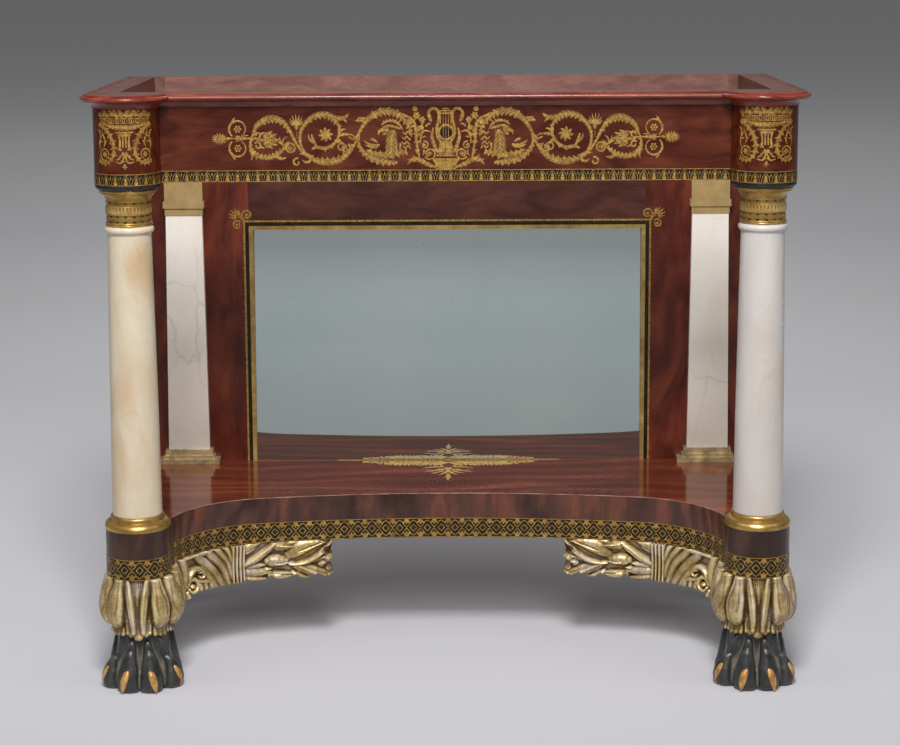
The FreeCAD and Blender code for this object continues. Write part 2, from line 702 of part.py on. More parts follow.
# ---- the carved brackets under the shelf's front edge ----

END_SINE = "(bracket_end / flat_radius)"
END_COSINE = f"sqrt(1 - {END_SINE}^2)"
MIDWAY_SINE = "((bracket_end + curve_join) / 2 / flat_radius)"
MIDWAY_COSINE = f"sqrt(1 - {MIDWAY_SINE}^2)"


def bracket_edge(offset):
    """The right half of the shelf's edge from the bracket's free end to the plinth."""
    return [
        on_flat(END_SINE, END_COSINE, offset),
        ("arc", on_flat(MIDWAY_SINE, MIDWAY_COSINE, offset), on_flat(JOIN_SINE, JOIN_COSINE, offset)),
        ("arc", on_hook("half_sine", "half_cosine", offset), on_hook("hook_sine", "hook_cosine", offset)),
    ]


def leg_brackets():
    outline = bracket_edge("(-bracket_front)") + backwards(bracket_edge("(bracket_board - bracket_front)"))
    plan = slab("bracket_plan", "XY_Plane", outline, "base_bottom - 80", "80")
    side = slab("bracket_side", "XZ_Plane", [
        ("bracket_end - 5", "base_bottom"), ("bracket_end - 5", "base_bottom - 62"),
        ("arc", ("292", "base_bottom - 71"), ("393", "base_bottom - 75")),
        ("445", "base_bottom - 66"), ("445", "base_bottom"),
    ], f"{FRONT} - 40", "280")
    spaces = [rod("bracket_leg_space", "bracket_clear", ("leg_x", f"{FRONT} + 3"),
                  ("base_bottom - 90", "base_bottom + 10"))]
    for x_at, y_at in SCREW_PLACES:
        spaces.append(rod(f"bracket_hole_{x_at}", "2.3", (x_at, y_at), (SCREW_SEAT, "base_bottom + 1")))
        spaces.append(rod(f"bracket_sink_{x_at}", "5", (x_at, y_at), ("base_bottom - 90", SCREW_SEAT)))
    right = node(cut("bracket", common("bracket_form", plan, side), spaces), "leg_bracket_right")
    mirrored(right, "leg_bracket_left")


def bracket_screws():
    screws = []
    for x_at, y_at in SCREW_PLACES:
        shank = rod(f"screw_shank_{x_at}", "2.2", (x_at, y_at), (f"{SCREW_SEAT} - 1", SCREW_TIP))
        head = rod(f"screw_head_{x_at}", "4.6", (x_at, y_at), (f"{SCREW_SEAT} - 3", SCREW_SEAT))
        screws.append(joined(f"screw_{x_at}", [shank, head]))
    screws += [unnamed_mirror(screw, screw.Name + "_left") for screw in screws]
    node(grouped("screws", screws), "bracket_screws")


# ---- the rear feet: turned, tapered, with a tenon up into the side rail ----

REAR_FOOT = [
    ("0", "0"), ("13.5", "0"), ("14.5", "2"), ("23", "92"),
    ("arc", ("26", "97"), ("23", "102")),
    ("19.5", "104"),
    ("arc", ("18.5", "114"), ("24.6", "126")),
    ("26.5", "128"), ("26.5", "base_bottom"), ("7", "base_bottom"),
    ("7", "base_bottom + 25"), ("0", "base_bottom + 25"),
]


def rear_feet():
    right = node(turned("rear_foot", REAR_FOOT, ("rear_foot_x", "rear_foot_y")), "rear_foot_right")
    mirrored(right, "rear_foot_left")


# ---- the mirror: glass leaning back behind gilt slips, wedged against its backboard ----

SLIP_FRONT = f"({STILE_FRONT} - slip_front)"
GLASS_FOOT = f"({STILE_FRONT} + glass_inset)"
GLASS_SLOPE = "tan(glass_lean * 1 deg)"
WEDGE_TOP = "(mirror_head - 36)"


def glass_front(height):
    return f"{GLASS_FOOT} + ({height} - shelf_top - glass_rise) * {GLASS_SLOPE}"


def mirror():
    glass = box("glass", ("-(mirror_half - 1)", "mirror_half - 1"),
                (GLASS_FOOT, f"{GLASS_FOOT} + glass_board"),
                ("shelf_top + glass_rise", "mirror_head - 1.5"))
    glass.Placement = FreeCAD.Placement(glass.Placement.Base,
                                        FreeCAD.Rotation(FreeCAD.Vector(-1, 0, 0), 1))
    bind(glass, "Placement.Rotation.Angle", "glass_lean * 1 deg")
    node(glass, "mirror_plate")
    node(box("backboard", ("-(mirror_half - side_gap)", "mirror_half - side_gap"),
             (BACKBOARD_FRONT, f"{BACKBOARD_FRONT} + backboard"), ("shelf_top", "mirror_head - end_gap")),
         "mirror_backboard")
    slip = node(slab("side_slip", "YZ_Plane", [
        (SLIP_FRONT, "shelf_top"), (SLIP_FRONT, "mirror_head"),
        (f"{glass_front('mirror_head')} - 0.1", "mirror_head"),
        (f"{glass_front('shelf_top')} - 0.1", "shelf_top"),
    ], "mirror_half - slip_width", "slip_width"), "mirror_slip_right")
    mirrored(slip, "mirror_slip_left")
    node(box("head_slip", ("-(mirror_half - slip_width)", "mirror_half - slip_width"),
             (SLIP_FRONT, f"{glass_front('(mirror_head - 6.5)')} - 0.1"),
             ("mirror_head - 6.5", "mirror_head")), "mirror_slip_top")
    wedge = slab("wedge", "YZ_Plane", [
        (f"{glass_front('(shelf_top + 1)')} + glass_board + 0.1", "shelf_top + 1"),
        (BACKBOARD_FRONT, "shelf_top + 1"), (BACKBOARD_FRONT, WEDGE_TOP),
        (f"{glass_front(WEDGE_TOP)} + glass_board + 0.1", WEDGE_TOP),
    ], "mirror_half - 14", "13.5")
    node(grouped("wedges", [wedge, unnamed_mirror(wedge, "wedge_left")]), "mirror_wedges")
    pins = brads("brad")
    pins += [unnamed_mirror(pin, pin.Name + "_left") for pin in pins]
    node(grouped("pins", pins), "backboard_brads")


# ---- the pilasters on the stiles: stone slabs with gilt capitals and stepped bases ----

def stepped(name, label, steps):
    """Boxes on the stile's face: bottom, top, half width and depth of each."""
    boxes = [box(f"{name}_{number}", (f"pilaster_x - {half}", f"pilaster_x + {half}"),
                 (f"{STILE_FRONT} - {depth}", STILE_FRONT), (low, high))
             for number, (low, high, half, depth) in enumerate(steps)]
    right = node(joined(name, boxes), label + "_right")
    mirrored(right, label + "_left")


def pilasters():
    shaft = node(slab("pilaster", "XZ_Plane", [
        ("pilaster_x - 35", "pilaster_foot"), ("pilaster_x + 35", "pilaster_foot"),
        ("pilaster_x + 30.5", "pilaster_head"), ("pilaster_x - 30.5", "pilaster_head"),
    ], f"{STILE_FRONT} - pilaster_board", "pilaster_board"), "pilaster_shaft_right")
    mirrored(shaft, "pilaster_shaft_left")
    stepped("pilaster_cap", "pilaster_capital", (
        ("pilaster_head", "pilaster_head + 12", 31.8, 14.5),
        ("pilaster_head + 12", "pilaster_head + 23.5", 34.3, 17),
        ("pilaster_head + 23.5", "frieze_bottom", 32, 14.5),
    ))
    stepped("pilaster_foot_block", "pilaster_base", (
        ("shelf_top", "shelf_top + 8", 52, 24),
        ("shelf_top + 8", "shelf_top + 14", 43.7, 20),
        ("shelf_top + 14", "pilaster_foot", 40.5, 17),
    ))


# ---- glue blocks in the corners of both frames ----

def glue_blocks(name, places, heights):
    blocks = []
    for number, (x_range, y_range) in enumerate(places):
        block = box(f"{name}_{number}", x_range, y_range, heights)
        blocks += [block, unnamed_mirror(block, f"{name}_{number}_left")]
    node(grouped(name + "_group", blocks), name)


def all_glue_blocks():
    beside_rail = (f"{SIDE_INNER} - block_side", SIDE_INNER)
    before_back = (f"{STILE_FRONT} - block_side", STILE_FRONT)
    glue_blocks("frieze_glue_blocks", (
        (beside_rail, (FRIEZE_INNER, f"{FRIEZE_INNER} + block_side")),
        (beside_rail, before_back),
    ), ("frieze_bottom + 10", "frieze_bottom + 90"))
    glue_blocks("shelf_glue_blocks", (
        (beside_rail, before_back),
        (beside_rail, ("-20", "60")),
        (("120", "200"), before_back),
    ), ("base_bottom + 4", APRON_TOP))


for build_piece in (frieze_front_rail, corner_blocks, frieze_side_rails, back_frame, top_mouldings,
                    columns, tie_rods, shelf_board, shelf_front_apron, plinth_drums, shelf_side_rails,
                    leaf_knees, paws, leg_brackets, bracket_screws, rear_feet, mirror, pilasters,
                    all_glue_blocks):
    build_piece()
document.recompute()

for thing in document.Objects:
    if {"Invalid", "Error"} & set(thing.State):
        raise SystemExit(f"{thing.Name} did not build: {thing.State}")
for thing in NODES:
    if thing.Shape.isNull() or not thing.Shape.isValid() or not thing.Shape.Solids:
        raise SystemExit(f"{thing.Label} has no valid solid")

os.makedirs("parts", exist_ok=True)
whole = FreeCAD.BoundBox()
for thing in NODES:
    whole.add(thing.Shape.BoundBox)
    thing.Shape.exportStep(f"parts/{thing.Label}.step")
print(f"{len(NODES)} pieces, box {whole}")
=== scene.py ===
"""A mahogany pier table: stone columns and a mirrored back on a concave shelf with gilt, paw-footed legs."""
import math

import bmesh
import bpy
import numpy as np
from mathutils import Matrix, Vector
from mathutils.geometry import interpolate_bezier


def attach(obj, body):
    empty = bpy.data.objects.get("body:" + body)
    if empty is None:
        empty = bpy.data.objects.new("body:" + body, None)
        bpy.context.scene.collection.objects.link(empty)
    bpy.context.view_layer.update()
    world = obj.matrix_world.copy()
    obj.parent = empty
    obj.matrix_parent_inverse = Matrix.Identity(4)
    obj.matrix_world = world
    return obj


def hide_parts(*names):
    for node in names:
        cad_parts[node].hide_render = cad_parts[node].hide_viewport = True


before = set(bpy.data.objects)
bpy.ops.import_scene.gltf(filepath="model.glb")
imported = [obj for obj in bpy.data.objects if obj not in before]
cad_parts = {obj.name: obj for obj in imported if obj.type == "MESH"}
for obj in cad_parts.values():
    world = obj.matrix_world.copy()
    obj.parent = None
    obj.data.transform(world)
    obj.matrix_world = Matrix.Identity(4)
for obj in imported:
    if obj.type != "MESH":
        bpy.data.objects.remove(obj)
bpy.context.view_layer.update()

MM = 0.001

# ---- the studio -------------------------------------------------------------------------------
# A pale floor, one main lamp high in front, a broad soft one beside it, weak ones at the sides and
# behind, and two that light only the floor further back and further forward.
# The camera stands three metres off, a little above the rim, and looks slightly down.

EYE = Vector((0.01485, -3.25016, 1.11704))
EYE_YAW = -0.003
EYE_PITCH = 0.157
EYE_ROLL = -0.005
FOCAL_PIXELS = 2076.9
PICTURE_WIDTH = 900
AXIS_ABOVE_MIDDLE = 94.9
SENSOR = 36
FARTHEST = 400
# each lamp's name, place, target, side and watts
LAMPS = (("lamp high in front", (-0.08, -2.28, 3.05), (0, 0, 0.4), 0.8, 86),
         ("soft lamp in front", (0, -4.0, 3.3), (0, 0, 0.4), 2.0, 122),
         ("lamp on the left", (-2.6, -1.2, 3.0), (0, 0, 0.4), 1.4, 12),
         ("lamp on the right", (2.6, -1.2, 3.0), (0, 0, 0.4), 1.4, 12),
         ("lamp over the floor behind", (0, 1.6, 4.5), (0, 11.1, 1.4), 1.6, 130),
         ("lamp over the floor in front", (0, -5, 4.5), (0, -9.5, 1), 1.6, 70),
         ("weak lamp behind", (0, 3.4, 2.6), (0, 0, 0.5), 1.4, 10))
FLOOR_RADIUS = 120
# the floor's tones by distance, over a span of depth behind the table and one in front of it: painted light and
# shade, darker a little way off and paler far away, standing in for how the lamps' light falls off
BEHIND_SPAN = (0, 30)
FLOOR_BEHIND = ((0, (208, 207, 212)), (0.022, (215, 213, 218)), (0.04, (207, 205, 210)), (0.07, (198, 198, 201)),
                (0.11, (197, 197, 199)), (0.17, (213, 213, 216)), (0.22, (230, 230, 232)), (0.3, (248, 248, 250)))
FRONT_SPAN = (-0.5, -9)
FLOOR_IN_FRONT = ((0, (189, 188, 193)), (0.06, (121, 125, 125)), (0.2, (124, 129, 129)), (0.26, (130, 136, 136)),
                  (0.315, (135, 141, 141)), (0.38, (148, 154, 154)), (0.45, (165, 171, 171)),
                  (0.54, (192, 198, 198)), (0.65, (230, 236, 236)), (0.77, (244, 248, 248)))
SKY = {"Color": (0.98, 0.99, 1.0, 1), "Strength": 0.13}


def set_up_camera():
    ahead = Vector((math.sin(EYE_YAW) * math.cos(EYE_PITCH), math.cos(EYE_YAW) * math.cos(EYE_PITCH),
                    -math.sin(EYE_PITCH)))
    level = Vector((math.cos(EYE_YAW), -math.sin(EYE_YAW), 0))
    upright = level.cross(ahead)
    across = level * math.cos(EYE_ROLL) + upright * math.sin(EYE_ROLL)
    up = upright * math.cos(EYE_ROLL) - level * math.sin(EYE_ROLL)
    data = bpy.data.cameras.new("view")
    data.sensor_width = SENSOR
    data.lens = FOCAL_PIXELS * SENSOR / PICTURE_WIDTH
    data.shift_y = -AXIS_ABOVE_MIDDLE / PICTURE_WIDTH
    data.clip_end = FARTHEST
    camera = bpy.data.objects.new("view", data)
    turn = Matrix((across, up, -ahead)).transposed().to_4x4()
    camera.matrix_world = Matrix.Translation(EYE) @ turn
    bpy.context.scene.collection.objects.link(camera)
    bpy.context.scene.camera = camera


def soft_lamp(name, at, towards, side, watts):
    data = bpy.data.lights.new(name, "AREA")
    data.shape = "SQUARE"
    data.size = side
    data.energy = watts
    lamp = bpy.data.objects.new(name, data)
    lamp.location = at
    lamp.rotation_euler = (Vector(towards) - Vector(at)).to_track_quat("-Z", "Y").to_euler()
    bpy.context.scene.collection.objects.link(lamp)


def tone(red, green, blue):
    """A colour as the eye names it, 0 to 255, for a shader's socket."""
    def straight(value):
        value /= 255
        return value / 12.92 if value <= 0.04045 else ((value + 0.055) / 1.055) ** 2.4
    return (straight(red), straight(green), straight(blue), 1.0)


def add(tree, kind, sockets=None, **settings):
    """A shader node with its sockets set to values or joined to other nodes' outputs."""
    made = tree.nodes.new("ShaderNode" + kind)
    for key, value in settings.items():
        setattr(made, key, value)
    for key, value in (sockets or {}).items():
        if isinstance(value, bpy.types.NodeSocket):
            tree.links.new(value, made.inputs[key])
        else:
            made.inputs[key].default_value = value
    return next(output for output in made.outputs if output.enabled)


def object_place(tree):
    return add(tree, "TexCoord").node.outputs["Object"]


def axis_of(tree, vector, axis):
    return add(tree, "SeparateXYZ", {0: vector}).node.outputs[axis]


def level(tree, factor, low, high, to_low=0.0, to_high=1.0):
    """A value stretched from one range to another, held at both ends."""
    return add(tree, "MapRange", {0: factor, 1: low, 2: high, 3: to_low, 4: to_high})


def ramp(tree, factor, *stops):
    """Colours along a value: each stop is a place from 0 to 1 and a tone."""
    made = tree.nodes.new("ShaderNodeValToRGB")
    tree.links.new(factor, made.inputs[0])
    band = made.color_ramp
    while len(band.elements) < len(stops):
        band.elements.new(0.5)
    for element, (place, colour) in zip(band.elements, stops):
        element.position = place
        element.color = tone(*colour)
    return made.outputs[0]


def mix(tree, factor, first, second, blend="MIX"):
    """A colour brought towards another by a factor; the second may be a plain tone."""
    second = tone(*second) if isinstance(second, tuple) else second
    return add(tree, "Mix", {0: factor, 6: first, 7: second}, data_type="RGBA", blend_type=blend)


def new_finish(name):
    """An empty node material: itself, its tree and its shader."""
    material = bpy.data.materials.new(name)
    material.use_nodes = True
    return material, material.node_tree, material.node_tree.nodes["Principled BSDF"]


def wire(tree, shader, **sockets):
    """Joins outputs, or sets numbers, on a shader's sockets."""
    for key, value in sockets.items():
        socket = shader.inputs[key.replace("_", " ")]
        if isinstance(value, bpy.types.NodeSocket):
            tree.links.new(value, socket)
        else:
            socket.default_value = value


def set_up_studio():
    mesh = bpy.data.meshes.new("floor")
    shape = bmesh.new()
    bmesh.ops.create_circle(shape, cap_ends=True, segments=64, radius=FLOOR_RADIUS)
    shape.to_mesh(mesh)
    shape.free()
    floor = bpy.data.objects.new("floor", mesh)
    bpy.context.scene.collection.objects.link(floor)
    material, tree, shader = new_finish("studio floor")
    # painted light and shade: the floor's colour is made lighter or darker by distance
    depth = axis_of(tree, object_place(tree), "Y")
    behind = ramp(tree, level(tree, depth, *BEHIND_SPAN), *FLOOR_BEHIND)
    front = ramp(tree, level(tree, depth, *FRONT_SPAN), *FLOOR_IN_FRONT)
    before = level(tree, depth, BEHIND_SPAN[0], FRONT_SPAN[0])
    wire(tree, shader, Base_Color=mix(tree, before, behind, front), Roughness=0.9)
    mesh.materials.append(material)
    world = bpy.data.worlds.new("studio")
    world.use_nodes = True
    for socket, value in SKY.items():
        world.node_tree.nodes["Background"].inputs[socket].default_value = value
    bpy.context.scene.world = world
    bpy.context.scene.view_settings.view_transform = "Standard"
    for lamp in LAMPS:
        soft_lamp(*lamp)


set_up_camera()
set_up_studio()

# ---- mahogany ---------------------------------------------------------------------------------
# Every show surface of the case is crotch-figured mahogany veneer or solid mahogany, finished with
# shellac. The figure runs along each board; the pores are short dark flecks; the top edges of the
# boards are bare and grey, because a stone slab covered them.

SIDES = ((-1, "left"), (1, "right"))
ALONG_X = (0, 0, 0)
ALONG_Y = (0, 0, math.radians(90))
ALONG_Z = (0, math.radians(90), 0)
FIGURE_STOPS = (0.28, 0.50, 0.72)
FIGURE_DRIFT = 0.09
PORE_TONE = (40, 17, 11)
BARE_STOPS = ((0.3, (92, 58, 49)), (0.7, (118, 82, 72)))
RIM_HEIGHT = (0.9, 0.905)
WELL_HEIGHT = (0.776, 0.777)


def cloudy(tree, place, scale, detail, roughness=0.5, distortion=0.0):
    """Noise, whose values lie mostly between 0.3 and 0.7."""
    return add(tree, "TexNoise", {"Vector": place, "Scale": scale, "Detail": detail, "Roughness": roughness,
                                  "Distortion": distortion})


def math_node(tree, operation, first, second=0.0):
    return add(tree, "Math", {0: first, 1: second}, operation=operation)


def times(tree, first, second):
    return math_node(tree, "MULTIPLY", first, second)


def plus(tree, first, second):
    return math_node(tree, "ADD", first, second)


def make_wood_figure():
    """Group: how dark the figure is at a place whose X runs along the grain, the streaks and the pores."""
    tree = bpy.data.node_groups.new("wood figure", "ShaderNodeTree")
    tree.interface.new_socket("Place", in_out="INPUT", socket_type="NodeSocketVector")
    for name in ("Figure", "Streaks", "Pores"):
        tree.interface.new_socket(name, in_out="OUTPUT", socket_type="NodeSocketFloat")
    start = tree.nodes.new("NodeGroupInput").outputs[0]
    end = tree.nodes.new("NodeGroupOutput")

    def stretched(place, along, across, detail, distortion=0.0):
        """Noise of so many spots to the metre along the grain and across it."""
        drawn_out = add(tree, "Mapping", {0: place, 3: (along, across, across)})
        return cloudy(tree, drawn_out, 1, detail, 0.5, distortion)

    drift = stretched(start, 5, 9, 3).node.outputs["Color"]
    drift = add(tree, "VectorMath", {0: drift, 1: (0.5, 0.5, 0.5)}, operation="SUBTRACT")
    drift = add(tree, "VectorMath", {0: drift, "Scale": FIGURE_DRIFT}, operation="SCALE")
    bent = add(tree, "VectorMath", {0: start, 1: drift}, operation="ADD")
    plume = stretched(bent, 13, 44, 4, 0.5)
    rings = add(tree, "Mapping", {0: bent, 3: (2.5, 20, 20)})
    rings = add(tree, "TexWave", {"Vector": rings, "Scale": 1, "Distortion": 6, "Detail": 3, "Detail Scale": 1.6,
                                  "Detail Roughness": 0.55}, bands_direction="Y").node.outputs["Fac"]
    found = {"Figure": plus(tree, times(tree, plume, 0.8), times(tree, rings, 0.2)),
             "Streaks": stretched(bent, 14, 330, 2),
             "Pores": level(tree, stretched(start, 120, 1500, 1), 0.60, 0.70)}
    for name, output in found.items():
        tree.links.new(output, end.inputs[name])
    return tree


WOOD_FIGURE = make_wood_figure()


def grained(tree, along, shift, breadth=1.0):
    """The wood figure's three values on an object, the grain along one axis; breadth widens the figure only."""
    place = object_place(tree)
    found = []
    for scale in (1 / breadth, 1):
        turned = add(tree, "Mapping", {0: place, 1: shift, 2: along, 3: (scale, scale, scale)})
        group = tree.nodes.new("ShaderNodeGroup")
        group.node_tree = WOOD_FIGURE
        tree.links.new(turned, group.inputs[0])
        found.append(group.outputs)
    return found[0]["Figure"], found[1]["Streaks"], found[1]["Pores"]


def facing(tree, axis):
    """How far a surface faces along an axis, from -1 to 1."""
    return axis_of(tree, add(tree, "NewGeometry").node.outputs["Normal"], axis)


def bare_parts(tree, with_well):
    """1 on the rim's flat upper edge, and on the boards' inner faces in the well."""
    height = axis_of(tree, object_place(tree), "Z")
    top = times(tree, level(tree, facing(tree, "Z"), 0.85, 0.95), level(tree, height, *RIM_HEIGHT))
    if with_well:
        inside = times(tree, level(tree, facing(tree, "Y"), -0.85, -0.95), level(tree, height, *WELL_HEIGHT))
        top = math_node(tree, "MAXIMUM", top, inside)
    return top


def roughened(tree, shader, height, strength, depth):
    wire(tree, shader, Normal=add(tree, "Bump", {"Height": height, "Strength": strength, "Distance": depth}))


def varied(tree, noise, at_low, at_high):
    """A number that goes from one value to another with a noise."""
    return level(tree, noise, 0.3, 0.7, at_low, at_high)


def make_mahogany(name, along, shift, tones, breadth=1.0, bare_top=False, bare_well=False, shine=0.24, polish=0.1,
                  blur=0.12, edge=None):
    """Shellacked mahogany in a dark, a middle and a light tone; edge is the veneer of upright faces."""
    material, tree, shader = new_finish(name)
    figure, streaks, pores = grained(tree, along, shift, breadth)
    wood = ramp(tree, figure, *zip(FIGURE_STOPS, tones))
    wood = mix(tree, level(tree, streaks, 0.4, 0.75, 0.0, 0.35), wood, tones[0])
    if edge:
        edge_along, edge_shift, edge_tones, edge_breadth = edge
        upright = level(tree, math_node(tree, "ABSOLUTE", facing(tree, "Z")), 0.6, 0.4)
        veneer = grained(tree, edge_along, edge_shift, edge_breadth)[0]
        wood = mix(tree, upright, wood, ramp(tree, veneer, *zip(FIGURE_STOPS, edge_tones)))
    wood = mix(tree, times(tree, pores, 0.4), wood, PORE_TONE)
    gloss = varied(tree, figure, shine, shine * 1.5)
    if bare_top:
        bare = bare_parts(tree, bare_well)
        wood = mix(tree, bare, wood, ramp(tree, cloudy(tree, object_place(tree), 60, 4), *BARE_STOPS))
        gloss = plus(tree, gloss, times(tree, bare, 0.35))
    wire(tree, shader, Base_Color=wood, Roughness=gloss, Specular_IOR_Level=0.3, Coat_Weight=polish,
         Coat_Roughness=blur)
    roughened(tree, shader, pores, shine, 0.0002)
    return material


def dress(material, *names):
    """Gives CAD nodes a finish."""
    for name in names:
        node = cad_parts[name]
        node.data.materials.clear()
        node.data.materials.append(material)
        node.data.polygons.foreach_set("material_index", [0] * len(node.data.polygons))


def pair(name):
    return [name + "_" + side for _, side in SIDES]


APRON_VENEER = (ALONG_Z, (0.1, 0.6, 0), ((52, 33, 29), (78, 50, 41), (114, 66, 50)), 1.5)
dress(make_mahogany("frieze mahogany", ALONG_X, (0, 0, 0.3), ((58, 20, 9), (78, 30, 15), (95, 41, 22)),
                    bare_top=True), "frieze_front_rail", *pair("corner_block"))
dress(make_mahogany("side mahogany", ALONG_Y, (0.2, 0.1, 0), ((62, 24, 12), (83, 34, 19), (99, 45, 26)),
                    bare_top=True), *pair("frieze_side_rail"), *pair("shelf_side_rail"))
dress(make_mahogany("back frame mahogany", ALONG_Z, (0.1, 0.05, 0.2), ((64, 24, 15), (90, 37, 25), (115, 52, 34)),
                    1.6, bare_top=True, bare_well=True), *pair("back_stile"))
dress(make_mahogany("head rail mahogany", ALONG_X, (0.35, 0.3, 0.1), ((60, 29, 22), (74, 39, 31), (88, 49, 38))),
      "back_head_rail")
dress(make_mahogany("shelf mahogany", ALONG_X, (0.5, 0.2, 0), ((81, 35, 22), (103, 46, 28), (136, 65, 38)),
                    3.4, shine=0.08, polish=0.0, edge=APRON_VENEER), "shelf_board")
dress(make_mahogany("apron mahogany", *APRON_VENEER), "shelf_front_apron")
dress(make_mahogany("drum mahogany", ALONG_Z, (0.3, 0.1, 0), ((42, 29, 25), (56, 38, 33), (74, 48, 40)), 1.4),
      *pair("plinth_drum"))
dress(make_mahogany("moulding mahogany", ALONG_X, (0, 0.2, 0.4), ((98, 42, 33), (124, 57, 44), (146, 74, 57)),
                    polish=0.5, blur=0.14), "top_moulding_front")
dress(make_mahogany("corner moulding mahogany", ALONG_X, (0.3, 0.2, 0.4),
                    ((103, 37, 24), (129, 49, 33), (152, 65, 43)), polish=0.4, blur=0.14),
      *pair("top_moulding_corner"))
dress(make_mahogany("side moulding mahogany", ALONG_Y, (0, 0.2, 0.4),
                    ((92, 36, 24), (116, 50, 36), (138, 64, 48))), *pair("top_moulding_side"))

# ---- hidden wood and iron ---------------------------------------------------------------------
# The back rails, backboard, wedges and glue blocks are bare pine and cherry, browned by age. The
# rods, nuts, washers, screws and brads are plain wrought iron.


def make_bare_wood(name, along, dark, light):
    material, tree, shader = new_finish(name)
    figure, streaks, pores = grained(tree, along, (0.7, 0.3, 0.2))
    wood = ramp(tree, figure, (0.3, dark), (0.7, light))
    wood = mix(tree, level(tree, streaks, 0.3, 0.75, 0, 0.45), wood, dark)
    wood = mix(tree, times(tree, pores, 0.4), wood, (60, 38, 28))
    wire(tree, shader, Base_Color=wood, Roughness=varied(tree, streaks, 0.62, 0.8))
    roughened(tree, shader, streaks, 0.3, 0.0004)
    return material


def make_rubbed(name, noise, dark, light, dullness, bump, fine=None, **sockets):
    """A finish of two tones, each at its stop, by one noise; the bump may follow a finer one."""
    material, tree, shader = new_finish(name)
    place = object_place(tree)
    rubbed = cloudy(tree, place, *noise)
    wire(tree, shader, Base_Color=ramp(tree, rubbed, dark, light), Roughness=varied(tree, rubbed, *dullness),
         **sockets)
    roughened(tree, shader, cloudy(tree, place, *fine) if fine else rubbed, *bump)
    return material


dress(make_bare_wood("back rail wood", ALONG_X, (96, 60, 51), (138, 92, 81)), "frieze_back_rail")
dress(make_bare_wood("aged pine", ALONG_Z, (122, 88, 58), (176, 140, 100)), "shelf_back_rail", "mirror_backboard",
      "mirror_wedges", "frieze_glue_blocks", "shelf_glue_blocks", "apron_dowels")
dress(make_rubbed("wrought iron", (400, 4), (0.35, (44, 40, 38)), (0.65, (84, 62, 48)), (0.45, 0.75),
                  (0.4, 0.0003), Metallic=0.8),
      "column_tie_rods", "tie_rod_nuts", "tie_rod_washers", "bracket_screws", "backboard_brads")

# ---- the stone columns and pilasters -----------------------------------------------------------
# The columns are turned and polished alabaster: honey-coloured on the left, whiter on the right,
# cloudy and a little translucent. The pilasters are sawn slabs of white marble with grey veins;
# their colour is painted darker towards the foot, as shade.

VEIN_WIDTH = 0.02
SHADED_FOOT_HEIGHT = (0.5, 0.3)


def make_stone(name, pale, cloud, warm, vein, translucence, foot=None):
    """Stone with clouds and veins; foot is a tone multiplied in lower down, a painted shade that darkens the
    stone towards its foot.
    """
    material, tree, shader = new_finish(name)
    place = object_place(tree)
    long = add(tree, "Mapping", {0: place, 3: (1, 1, 0.55)})
    clouds = cloudy(tree, long, 13, 5, 0.55, 0.6)
    patches = cloudy(tree, long, 6, 3, 0.5, 1.5)
    stone = ramp(tree, clouds, (0.34, cloud), (0.62, pale))
    stone = mix(tree, level(tree, patches, 0.5, 0.68, 0, 0.75), stone, warm)
    drift = cloudy(tree, long, 9, 4).node.outputs["Color"]
    drift = add(tree, "VectorMath", {0: drift, "Scale": 0.09}, operation="SCALE")
    bent = add(tree, "VectorMath", {0: long, 1: drift}, operation="ADD")
    cells = add(tree, "TexVoronoi", {"Vector": bent, "Scale": 11}, feature="DISTANCE_TO_EDGE")
    veins = times(tree, level(tree, cells, 0.0, VEIN_WIDTH, 0.3, 0), level(tree, patches, 0.4, 0.62))
    stone = mix(tree, veins, stone, vein)
    if foot:
        # painted shade: the stone is darkened towards its foot
        stone = mix(tree, level(tree, axis_of(tree, place, "Z"), *SHADED_FOOT_HEIGHT), stone, foot, "MULTIPLY")
    wire(tree, shader, Base_Color=stone, Roughness=varied(tree, clouds, 0.34, 0.24),
         Subsurface_Weight=translucence, Subsurface_Radius=(1.0, 0.7, 0.45), Subsurface_Scale=0.012)
    roughened(tree, shader, clouds, 0.08, 0.001)
    return material


dress(make_stone("honey alabaster", (210, 197, 176), (197, 176, 145), (193, 162, 122), (178, 145, 106), 0.3),
      "column_shaft_left")
dress(make_stone("pale alabaster", (201, 195, 190), (190, 181, 176), (196, 180, 164), (179, 163, 150), 0.3),
      "column_shaft_right")
# the marble is painted darker lower down, as shade
dress(make_stone("white marble", (254, 244, 232), (244, 232, 219), (247, 234, 217), (172, 156, 146), 0.1,
                 (203, 200, 197)), *pair("pilaster_shaft"))

# ---- gilding and black lacquer ------------------------------------------------------------------
# The capitals, rings and pilaster blocks are metal with a dull gilding that has darkened in its
# hollows. The abaci and feet are ebonised: black stain under shellac, rubbed grey on the edges.

GILDING_STOPS = (0.32, 0.5, 0.68)


def make_gilding(name, tones, metal, dullness, grime_scale=38):
    """Gilding in a dark, a middle and a light tone."""
    material, tree, shader = new_finish(name)
    place = object_place(tree)
    tarnish = cloudy(tree, place, grime_scale, 6, 0.65)
    grain = cloudy(tree, place, 900, 2)
    wire(tree, shader, Base_Color=ramp(tree, tarnish, *zip(GILDING_STOPS, tones)), Metallic=metal,
         Roughness=varied(tree, tarnish, dullness + 0.16, dullness - 0.06))
    roughened(tree, shader, plus(tree, tarnish, times(tree, grain, 0.25)), 0.25, 0.0005)
    return material


